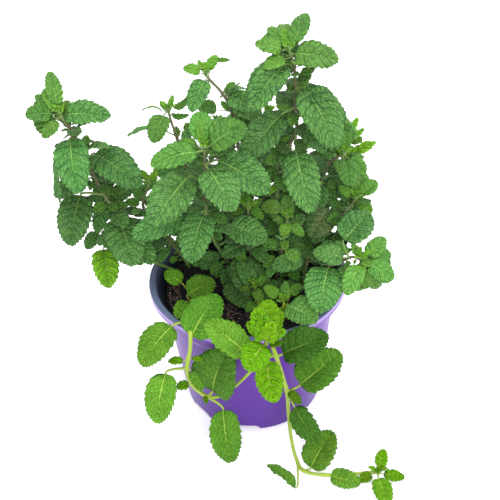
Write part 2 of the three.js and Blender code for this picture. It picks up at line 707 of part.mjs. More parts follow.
// A blade from its base to its tip, facing a given way, turned about its own length.
function makeBlade(node, base, tip, facing, turn, shape) {
  const along = tip.clone().sub(base);
  const length = along.length();
  along.normalize();
  const normal = facing.clone().addScaledVector(along, -facing.dot(along)).normalize();
  normal.applyAxisAngle(along, THREE.MathUtils.degToRad(turn));
  const side = new THREE.Vector3().crossVectors(normal, along);
  const blade = { node, base, tip, length, along, normal, side, ...shape };
  blade.centre = base.clone().addScaledVector(along, length / 2);
  blade.reach = length * Math.max(0.5, blade.wide / 2) + 2;
  blade.samples = samplePoints(blade);
  return blade;
}

// Points spread over a blade and its stalk, each with its share of the length.
function samplePoints(blade) {
  const samples = [];
  const rows = Math.ceil(blade.length / SAMPLE_STEP);
  for (let row = 0; row <= rows; row += 1) {
    const u = row / rows;
    const half = halfWidth(blade, u);
    const columns = Math.ceil(2 * half / SAMPLE_STEP);
    for (let column = 0; column <= columns; column += 1) {
      const across = columns > 0 ? half * (2 * column / columns - 1) : 0;
      samples.push({ u, point: bladePoint(blade, u, across, -LEAF_THICKNESS / 2) });
    }
  }
  const stalk = blade.base.clone().sub(blade.node);
  const steps = Math.ceil(stalk.length() / SAMPLE_STEP);
  for (let step = 1; step < steps; step += 1) {
    samples.push({ u: step / steps - 1, point: blade.node.clone().addScaledVector(stalk, step / steps) });
  }
  return samples;
}

// Whether any of the points lies within the room round a blade.
function pointsMeetBlade(samples, blade, room, freeBelow) {
  for (const { u, point } of samples) {
    if (u < freeBelow) {
      continue;
    }
    const offset = point.clone().sub(blade.base);
    const share = offset.dot(blade.along) / blade.length;
    if (share < freeBelow - 0.02 || share > 1.02) {
      continue;
    }
    const across = offset.dot(blade.side);
    const half = halfWidth(blade, share);
    if (Math.abs(across) > half + room) {
      continue;
    }
    const height = offset.dot(blade.normal) + LEAF_THICKNESS / 2;
    if (Math.abs(height - rise(blade, share, across, half)) < room) {
      return true;
    }
  }
  return false;
}

// Whether a point is too near the pot, the soil or the surface that the pot stands on.
function meetsPot(point) {
  const { x, y, z } = point;
  const radius = Math.hypot(x, y);
  if (z < FLOOR_ROOM) {
    return true;
  }
  if (z < SOIL_TOP + 2 * SOIL_HUMMOCK + POT_ROOM && radius < wallRadius(z) + POT_ROOM) {
    return true;
  }
  const inner = wallRadius(Math.min(z, POT_HEIGHT - LIP_DEPTH)) - WALL - POT_ROOM;
  const outer = z > POT_HEIGHT - LIP_DEPTH - POT_ROOM ? LIP_RADIUS + POT_ROOM : wallRadius(z) + POT_ROOM;
  return z < POT_HEIGHT + POT_ROOM && radius > inner && radius < outer;
}

// Everything already placed: the blades, and points along the stems.
const placed = [];
const stemPoints = [];

function isClear(blade, shoot) {
  if (blade.samples.some(({ point }) => meetsPot(point))) {
    return false;
  }
  for (const other of placed) {
    if (other.centre.distanceTo(blade.centre) > other.reach + blade.reach) {
      continue;
    }
    const own = other.shoot === shoot;
    const room = own ? OWN_ROOM : LEAF_ROOM;
    const free = own ? OWN_FREE : -2;
    if (pointsMeetBlade(blade.samples, other, room, free)
        || pointsMeetBlade(other.samples, blade, room, free)) {
      return false;
    }
  }
  for (const { point, radius, of } of stemPoints) {
    if (of !== shoot && point.distanceTo(blade.centre) < blade.reach + radius
        && pointsMeetBlade([{ u: 0, point }], blade, radius + STEM_ROOM, -2)) {
      return false;
    }
    if (of !== shoot && blade.samples.some((sample) => sample.point.distanceTo(point) < radius + LEAF_ROOM)) {
      return false;
    }
  }
  return true;
}

// The ways to bend a leaf, the smallest bends first.
function bends(ranges) {
  let list = [[]];
  for (const { steps } of ranges) {
    const next = [];
    for (const start of list) {
      for (let count = -steps; count <= steps; count += 1) {
        next.push([...start, count]);
      }
    }
    list = next;
  }
  const cost = (bend) => bend
    .reduce((sum, count, index) => sum + Math.abs(count) * (1 + index * LATER_COST), 0);
  return list
    .map((bend, order) => ({ bend, order, cost: Math.round(cost(bend) * 1000) }))
    .sort((a, b) => a.cost - b.cost || a.order - b.order)
    .map(({ bend }) => bend.map((count, index) => count * ranges[index].step));
}

const LEAF_BENDS = bends([
  { step: FORE_STEP, steps: FORE_STEPS },
  { step: PUSH_STEP, steps: PUSH_STEPS },
  { step: TURN_STEP, steps: TURN_STEPS },
]);
const BACK_BENDS = bends([
  { step: AZIMUTH_STEP, steps: AZIMUTH_STEPS },
  { step: RISE_STEP, steps: RISE_STEPS },
]);

// A leaf seen in the photograph. Bending it only moves it towards or away from the viewer.
function seenBlade(stem, leaf, [foreBend, push, turnBend], shrink) {
  const node = onStem(stem, leaf);
  const nodeDepth = depthOf(node);
  const tipDepthRatio = (from, depth) => {
    const flat = atDepth(leaf.tip, depth).sub(from);
    const fore = THREE.MathUtils.degToRad((leaf.fore ?? 0) + foreBend);
    return depth - flat.length() * Math.tan(fore);
  };
  let base;
  if (leaf.neck) {
    base = leaf.neckHeight ? level(...leaf.neck, leaf.neckHeight) : atDepth(leaf.neck, nodeDepth - push);
  } else {
    const towards = atDepth(leaf.tip, tipDepthRatio(node, nodeDepth)).sub(node);
    const stalk = Math.min(STALK_LENGTH, towards.length() * STALK_SHARE);
    base = node.clone().addScaledVector(towards.normalize(), stalk);
    base.addScaledVector(EYE.clone().sub(base).normalize(), push);
  }
  const tip = atDepth(leaf.tip, tipDepthRatio(base, depthOf(base)));
  tip.sub(base).multiplyScalar(shrink).add(base);
  const facing = EYE.clone().sub(base).normalize().multiplyScalar(FACE_VIEWER).addScaledVector(UP, FACE_UP);
  return makeBlade(node, base, tip, facing, (leaf.turn ?? 0) + turnBend, {
    wide: leaf.wide ?? LEAF_WIDE,
    arch: leaf.arch ?? LEAF_ARCH,
  });
}

function backBlade(stem, leaf, [azimuthBend, riseBend], shrink) {
  const node = onStem(stem, leaf);
  const azimuth = THREE.MathUtils.degToRad(leaf.azimuth + azimuthBend);
  const lift = THREE.MathUtils.degToRad(leaf.rise + riseBend);
  const direction = new THREE.Vector3(
    Math.cos(azimuth) * Math.cos(lift), Math.sin(azimuth) * Math.cos(lift), Math.sin(lift),
  );
  const base = node.clone().addScaledVector(direction, STALK_LENGTH);
  const tip = base.clone().addScaledVector(direction, leaf.size * shrink);
  return makeBlade(node, base, tip, UP, 0, { wide: LEAF_WIDE, arch: LEAF_ARCH });
}

// Places a leaf with the least bend that keeps it clear, or leaves it out.
function place(shoot, leaf, build, ways) {
  for (const shrink of SHRINKS) {
    for (const way of ways) {
      const blade = build(shoot, leaf, way, shrink);
      if (isClear(blade, shoot)) {
        blade.shoot = shoot;
        placed.push(blade);
        return blade;
      }
    }
  }
  return null;
}

// The solid of a blade and its stalk. Both faces have the same triangles, one thickness apart, and the
// edge is cut into teeth that lean towards the tip. The stalk starts inside the stem, at a point where it is
// short and as a strip where it is long.
function bladeSolid(blade) {
  const { teeth, ribShares } = LEAF_CUTS.find(({ over }) => blade.length > over);
  const points = [];
  const add = (point) => points.push(point) - 1;
  const span = LAST_TOOTH - FIRST_TOOTH;
  const tip = { u: 1, index: add(bladePoint(blade, 1, 0)) };
  const rib = [...ribShares.map((u) => ({ u, index: add(bladePoint(blade, u, 0)) })), tip];
  const stalk = blade.base.clone().sub(blade.node);
  const across = new THREE.Vector3().crossVectors(blade.normal, stalk).normalize();
  const beside = (point, reach) => add(point.clone().addScaledVector(across, reach));
  const edges = [1, -1].map((hand) => {
    const edge = [{ u: 0, index: beside(blade.base, hand * STALK_HALF_WIDTH) }];
    for (let tooth = 0; tooth < teeth; tooth += 1) {
      for (const [lean, size] of [[0, NOTCH_INSET], [TOOTH_LEAN, TOOTH_OUTSET]]) {
        const u = FIRST_TOOTH + span * (tooth + lean) / teeth;
        edge.push({ u, index: add(bladePoint(blade, u, hand * size * halfWidth(blade, u))) });
      }
    }
    return [...edge, tip];
  });
  const [left, right] = edges.map((edge) => edge[0].index);
  const triangles = [[rib[0].index, left, right]];
  edges.forEach((edge, which) => {
    const face = (a, b, c) => triangles.push(which === 0 ? [a, b, c] : [a, c, b]);
    let r = 0;
    let e = 0;
    while (r < rib.length - 1 || e < edge.length - 2) {
      if (e < edge.length - 2 && (r === rib.length - 1 || edge[e + 1].u <= rib[r + 1].u)) {
        face(rib[r].index, edge[e + 1].index, edge[e].index);
        e += 1;
      } else {
        face(rib[r].index, rib[r + 1].index, edge[e].index);
        r += 1;
      }
    }
  });
  const long = stalk.length() > LONG_STALK;
  const foot = (long ? [1, -1] : [0]).map((hand) => beside(blade.node, hand * STALK_HALF_WIDTH));
  triangles.push([foot[0], right, left]);
  if (long) {
    triangles.push([foot[0], foot[1], right]);
  }
  const loop = [...edges[0], ...edges[1].slice(0, -1).reverse()].map(({ index }) => index);
  loop.push(...foot.reverse());
  const count = points.length;
  const under = points.map((point) => point.clone().addScaledVector(blade.normal, -LEAF_THICKNESS));
  const all = [...triangles, ...triangles.map(([a, b, c]) => [c + count, b + count, a + count])];
  loop.forEach((a, position) => {
    const b = loop[(position + 1) % loop.length];
    all.push([a, b, b + count], [a, b + count, a + count]);
  });
  return solidFrom([...points, ...under], all);
}

// Builds every stem first, then its leaves, so that leaves bend clear of all the stems.
const stems = SHOOTS.map((shoot) => ({ ...shoot, curve: stemCurve(shoot.knots) }));
const draw = makeDraw(SEED);

for (const { name, foot, top } of BACK_STEMS) {
  const low = new THREE.Vector3(foot[0], foot[1], SOIL_TOP - ROOT_DEPTH);
  const ground = new THREE.Vector3(foot[0], foot[1], SOIL_TOP);
  const high = new THREE.Vector3(...top);
  const middle = ground.clone().lerp(high, 0.5).addScaledVector(UP, BACK_BOW);
  const knots = [low, ground, middle, high];
  stems.push({ name, knots, curve: stemCurve(knots), leaves: [], back: ground.distanceTo(high) });
}

for (const stem of stems) {
  const length = stem.curve.getLength();
  const count = Math.ceil(length / SAMPLE_STEP);
  for (let step = 0; step <= count; step += 1) {
    const share = step / count;
    stemPoints.push({ point: barCentre(stem, share), radius: stemRadius(share), of: stem });
  }
}

for (const stem of stems) {
  stem.blades = stem.leaves.map((leaf) => place(stem, leaf, seenBlade, LEAF_BENDS)).filter(Boolean);
}

stems.filter((stem) => stem.back).forEach((stem, index) => {
  const pairs = Math.floor((stem.back - BACK_FIRST_PAIR) / BACK_PAIR_STEP) + 1;
  for (let pair = 0; pair < pairs; pair += 1) {
    const share = (BACK_FIRST_PAIR + pair * BACK_PAIR_STEP) / stem.back;
    for (let half = 0; half < 2; half += 1) {
      const leaf = {
        at: 1 + 2 * Math.min(1, share),
        azimuth: index * 360 * GOLDEN_STEP + (pair + 2 * half) * QUARTER_TURN
          + BACK_AZIMUTH_SPREAD * (draw() * 2 - 1),
        rise: BACK_RISE + BACK_RISE_SPREAD * (draw() * 2 - 1),
        size: BACK_LEAF * (1 - BACK_LEAF_FALL * share + BACK_LEAF_SPREAD * (draw() * 2 - 1)),
      };
      const blade = place(stem, leaf, backBlade, BACK_BENDS);
      if (blade) {
        stem.blades.push(blade);
      }
    }
  }
});

const group = new THREE.Group();

function addPiece(name, solid, colour, roughness) {
  const material = new THREE.MeshStandardMaterial({ color: colour, roughness, metalness: 0 });
  const mesh = new THREE.Mesh(geometryOf(solid), material);
  mesh.name = name;
  group.add(mesh);
}

addPiece('pot', makePot(), POT_COLOUR, POT_ROUGHNESS);

const holeGrowth = CLEARANCE * Math.SQRT2;
const holes = stems.map((stem) => squareBar(stem, holeGrowth, CLEARANCE, HOLE_RINGS));
addPiece('soil', makeSoil(holes), SOIL_COLOUR, SOIL_ROUGHNESS);

stems.forEach((stem, index) => {
  const joined = wasm.Manifold.union([squareBar(stem), ...stem.blades.map(bladeSolid)]).simplify(SMOOTHING);
  const [solid] = joined.decompose().sort((a, b) => b.volume() - a.volume());
  const colour = new THREE.Color(OLD_GREEN).lerp(new THREE.Color(YOUNG_GREEN), (index * GOLDEN_STEP) % 1);
  addPiece(stem.name, solid, colour, LEAF_ROUGHNESS);
});

export default group;
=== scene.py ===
"""A potted strawberry mint: its growing pot, the potting mix in it, and the leafy stems in the mix.

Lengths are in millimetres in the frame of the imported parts, and become metres where a mesh is made. The
origin is the middle of the pot's flat underside, +Z is up and -Y is towards the front. Every leaf and stem
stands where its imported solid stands, and is worked out again here with finer teeth, veins and hollows.
"""

import logging
import math
from dataclasses import dataclass, field
from enum import Enum
from functools import cached_property
from itertools import combinations, product
from typing import Callable, Optional, Sequence

import bpy
import numpy as np
from mathutils import Matrix, Vector


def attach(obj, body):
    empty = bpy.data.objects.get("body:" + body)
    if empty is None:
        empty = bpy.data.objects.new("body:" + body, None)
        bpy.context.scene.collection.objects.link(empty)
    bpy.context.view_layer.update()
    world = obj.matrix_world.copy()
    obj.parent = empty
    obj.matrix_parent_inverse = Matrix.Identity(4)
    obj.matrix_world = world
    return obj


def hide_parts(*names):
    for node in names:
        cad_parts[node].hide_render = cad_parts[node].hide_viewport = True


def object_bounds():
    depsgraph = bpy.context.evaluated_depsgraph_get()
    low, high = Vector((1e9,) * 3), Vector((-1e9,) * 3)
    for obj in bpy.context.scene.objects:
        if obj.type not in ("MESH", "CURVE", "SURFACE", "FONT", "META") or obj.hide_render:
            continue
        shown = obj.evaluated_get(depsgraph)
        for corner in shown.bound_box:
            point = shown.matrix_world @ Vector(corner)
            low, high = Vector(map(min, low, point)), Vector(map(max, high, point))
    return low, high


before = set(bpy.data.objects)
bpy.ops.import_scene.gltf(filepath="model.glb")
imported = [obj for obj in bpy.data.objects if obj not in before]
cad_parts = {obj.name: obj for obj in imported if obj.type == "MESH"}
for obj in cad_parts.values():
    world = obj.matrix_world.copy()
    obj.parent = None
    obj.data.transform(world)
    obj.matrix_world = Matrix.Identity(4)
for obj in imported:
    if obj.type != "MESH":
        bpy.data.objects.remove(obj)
CAD_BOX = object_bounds()

log = logging.getLogger("mint")

MM = 0.001
UP = np.array((0.0, 0.0, 1.0))
GOLDEN_STEP = 0.6180339887
FULL_TURN = 2 * math.pi

Colour = tuple[float, float, float, float]
Place = tuple[float, float, float]
Bend = tuple[float, ...]
Looks = dict[str, np.ndarray]


def srgb(red: float, green: float, blue: float) -> Colour:
    """A linear colour from the 0 to 255 values that a screen shows.

    Args:
        red: Red, 0 to 255.
        green: Green, 0 to 255.
        blue: Blue, 0 to 255.

    Returns:
        The linear colour with full opacity.
    """
    shares = [value / 255 for value in (red, green, blue)]
    linear = [s / 12.92 if s <= 0.04045 else ((s + 0.055) / 1.055) ** 2.4 for s in shares]
    return (linear[0], linear[1], linear[2], 1.0)


def unit(vector: np.ndarray) -> np.ndarray:
    """The vector at length one, row by row."""
    return vector / np.linalg.norm(vector, axis=-1, keepdims=True)


def smooth(low: float, high: float, value: np.ndarray) -> np.ndarray:
    """A smooth step from 0 at low to 1 at high."""
    share = np.clip((value - low) / (high - low), 0.0, 1.0)
    return share * share * (3 - 2 * share)


class LatticeNoise:
    """Smooth noise between random values that stand on a cubic lattice."""

    SHIFT = 17.3
    RANGE = 1.6

    def __init__(self, seed: int, cells: int = 32) -> None:
        """Draws the lattice.

        Args:
            seed: The seed of the draw.
            cells: Lattice points along each axis, after which the noise repeats.
        """
        self.cells = cells
        self.values = np.random.default_rng(seed).uniform(-1.0, 1.0, (cells, cells, cells))

    def __call__(self, points: np.ndarray, octaves: int = 3) -> np.ndarray:
        """Sums the noise at doubling pitches and halving heights.

        Args:
            points: Points, one lattice cell to a unit.
            octaves: How many pitches are summed.

        Returns:
            One value for each point, about -1 to 1.
        """
        total = np.zeros(points.shape[:-1])
        height = 1.0
        for octave in range(octaves):
            total += height * self._one(points * 2**octave + self.SHIFT * octave)
            height /= 2
        return total / self.RANGE

    def _one(self, points: np.ndarray) -> np.ndarray:
        """Blends the eight lattice values round each point, by a smooth step along each axis.

        Args:
            points: Points, one lattice cell to a unit.

        Returns:
            One value for each point, from -1 to 1.
        """
        low = np.floor(points).astype(int)
        part = points - low
        part = part * part * (3 - 2 * part)
        found = np.zeros(points.shape[:-1])
        for corner in product((0, 1), repeat=3):
            share = np.prod(np.where(np.array(corner) == 1, part, 1 - part), axis=-1)
            x, y, z = np.moveaxis((low + corner) % self.cells, -1, 0)
            found += share * self.values[x, y, z]
        return found


@dataclass(frozen=True)
class Viewpoint:
    """Where the photograph was taken from, and what its points of view mean in space."""

    eye: np.ndarray
    pitch: float = math.radians(36.8)
    roll: float = math.radians(3.3)
    focal: float = 700.0
    middle: float = 250.0
    picture: float = 500.0
    sensor: float = 36.0

    @property
    def forward(self) -> np.ndarray:
        """The direction that the camera looks in."""
        return np.array((0.0, math.cos(self.pitch), -math.sin(self.pitch)))

    @property
    def upward(self) -> np.ndarray:
        """The direction above the line of sight, before the camera is rolled."""
        return np.array((0.0, math.sin(self.pitch), math.cos(self.pitch)))

    def sight(self, across: float, down: float) -> np.ndarray:
        """The line of sight through a point of the picture, one unit deep.

        Args:
            across: Pixels from the picture's left.
            down: Pixels from its top.

        Returns:
            The direction.
        """
        x = (across - self.middle) / self.focal
        y = (self.middle - down) / self.focal
        c, s = math.cos(self.roll), math.sin(self.roll)
        direction = self.forward + self.upward * (c * y - s * x)
        direction[0] += c * x + s * y
        return direction

    def upright(self, across: float, down: float, y: float) -> np.ndarray:
        """What is seen there, on the upright plane at y."""
        direction = self.sight(across, down)
        return self.eye + direction * ((y - self.eye[1]) / direction[1])

    def level(self, across: float, down: float, z: float) -> np.ndarray:
        """What is seen there, at the height z."""
        direction = self.sight(across, down)
        return self.eye + direction * ((z - self.eye[2]) / direction[2])

    def at_depth(self, spot: tuple[float, float], depth: float) -> np.ndarray:
        """What is seen there, at a depth into the view."""
        return self.eye + self.sight(*spot) * depth

    def depth_of(self, point: np.ndarray) -> np.ndarray:
        """How deep in the view each point lies."""
        return (point - self.eye) @ self.forward

    def rooted(self, across: float, down: float) -> list[np.ndarray]:
        """A stem's two lowest knots: in the soil, and where it leaves it."""
        foot = self.level(across, down, SOIL_TOP)
        return [np.array((foot[0], foot[1], SOIL_TOP - ROOT_DEPTH)), foot]

    def picture_of(self, points: np.ndarray) -> tuple[np.ndarray, np.ndarray, np.ndarray]:
        """Where points are seen.

        Args:
            points: Points, one to a row.

        Returns:
            Pixels across, pixels down, and depths.
        """
        offset = points - self.eye
        depth = offset @ self.forward
        x = self.focal * offset[:, 0] / depth
        y = self.focal * (offset @ self.upward) / depth
        c, s = math.cos(self.roll), math.sin(self.roll)
        return self.middle + c * x - s * y, self.middle - (s * x + c * y), depth

    def make_camera(self) -> bpy.types.Object:
        """Makes the scene's camera there.

        Returns:
            The camera's object.
        """
        data = bpy.data.cameras.new("camera")
        data.sensor_width = self.sensor
        data.lens = self.focal * self.sensor / self.picture
        data.clip_start, data.clip_end = 0.01, 20.0
        camera = bpy.data.objects.new("camera", data)
        c, s = math.cos(self.roll), math.sin(self.roll)
        right = np.array((c, 0.0, 0.0)) - s * self.upward
        above = np.array((s, 0.0, 0.0)) + c * self.upward
        turned = Matrix(np.column_stack((right, above, -self.forward)).tolist()).to_4x4()
        camera.matrix_world = Matrix.Translation((self.eye * MM).tolist()) @ turned
        bpy.context.scene.collection.objects.link(camera)
        bpy.context.scene.camera = camera
        return camera


# The pot and the soil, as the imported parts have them.
POT_HEIGHT = 100.0
LIP_RADIUS = 65.0
LIP_WIDTH = 4.6
LIP_DEPTH = 5.0
COLLAR_HEIGHT = 3.5
WALL_TOP_RADIUS = 57.2
BASE_RADIUS = 48.8
WALL = 1.3
SOIL_TOP = 88.0
SOIL_HUMMOCK = 1.3
ROOT_DEPTH = 12.0

VIEW = Viewpoint(eye=np.array((2.4, -360.7, 387.6)))


def wall_radius(z: np.ndarray) -> np.ndarray:
    """The pot's outer radius at a height below its collar."""
    return BASE_RADIUS + (WALL_TOP_RADIUS - BASE_RADIUS) * z / (POT_HEIGHT - LIP_DEPTH - COLLAR_HEIGHT)


class Tone(Enum):
    """How a leaf's colour differs from its age's own green. The bright tone is a young green lifted by painted
    light, and the shaded tone is darkened by painted shade.
    """

    PLAIN = "plain"
    # A young green, lifted by painted light.
    YOUNG_WITH_PAINTED_LIGHT = "bright"
    BRONZE = "bronze"
    # Darkened by painted shade.
    SHADED = "shaded"


class Growth(Enum):
    """Where a stem grows, which sets the colour of its bark and of its leaves."""

    BUSH = "bush"
    TRAILING = "trailing"
    FRONT = "front"
    BACK = "back"


@dataclass(frozen=True, eq=False)
class Leaf:
    """A leaf where it is seen.

    It has the knot it grows at, its tip in pixels across and down, its width for its length, its lean
    towards the viewer in degrees, and its neck if its stalk is long.
    """

    at: float
    across: float
    down: float
    wide: float = 0.6
    fore: float = 0.0
    neck: Optional[tuple[float, float]] = None
    neck_height: Optional[float] = None
    turn: float = 0.0
    arch: float = 0.09
    tone: Tone = Tone.PLAIN


@dataclass(frozen=True, eq=False)
class FreeLeaf:
    """A leaf that is set by rule: the way it points and its length."""

    at: float
    azimuth: float
    rise: float
    size: float
    wide: float = 0.58
    arch: float = 0.09
    stalk: float = 3.5
    tone: Tone = Tone.PLAIN


@dataclass(frozen=True, eq=False)
class Shoot:
    """A leafy stem: its knots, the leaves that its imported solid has, and the young ones beside them."""

    name: str
    knots: list[np.ndarray]
    leaves: list[Leaf]
    young: list[Leaf]
    growth: Growth = Growth.BUSH

    def crowd(self, leaf: Leaf | FreeLeaf) -> int:
        """How many leaves of its knot are listed before it."""
        rows = [*self.leaves, *self.young]
        return sum(other.at == leaf.at for other in rows[: rows.index(leaf)]) if leaf in rows else 0


rooted, upright, level = VIEW.rooted, VIEW.upright, VIEW.level

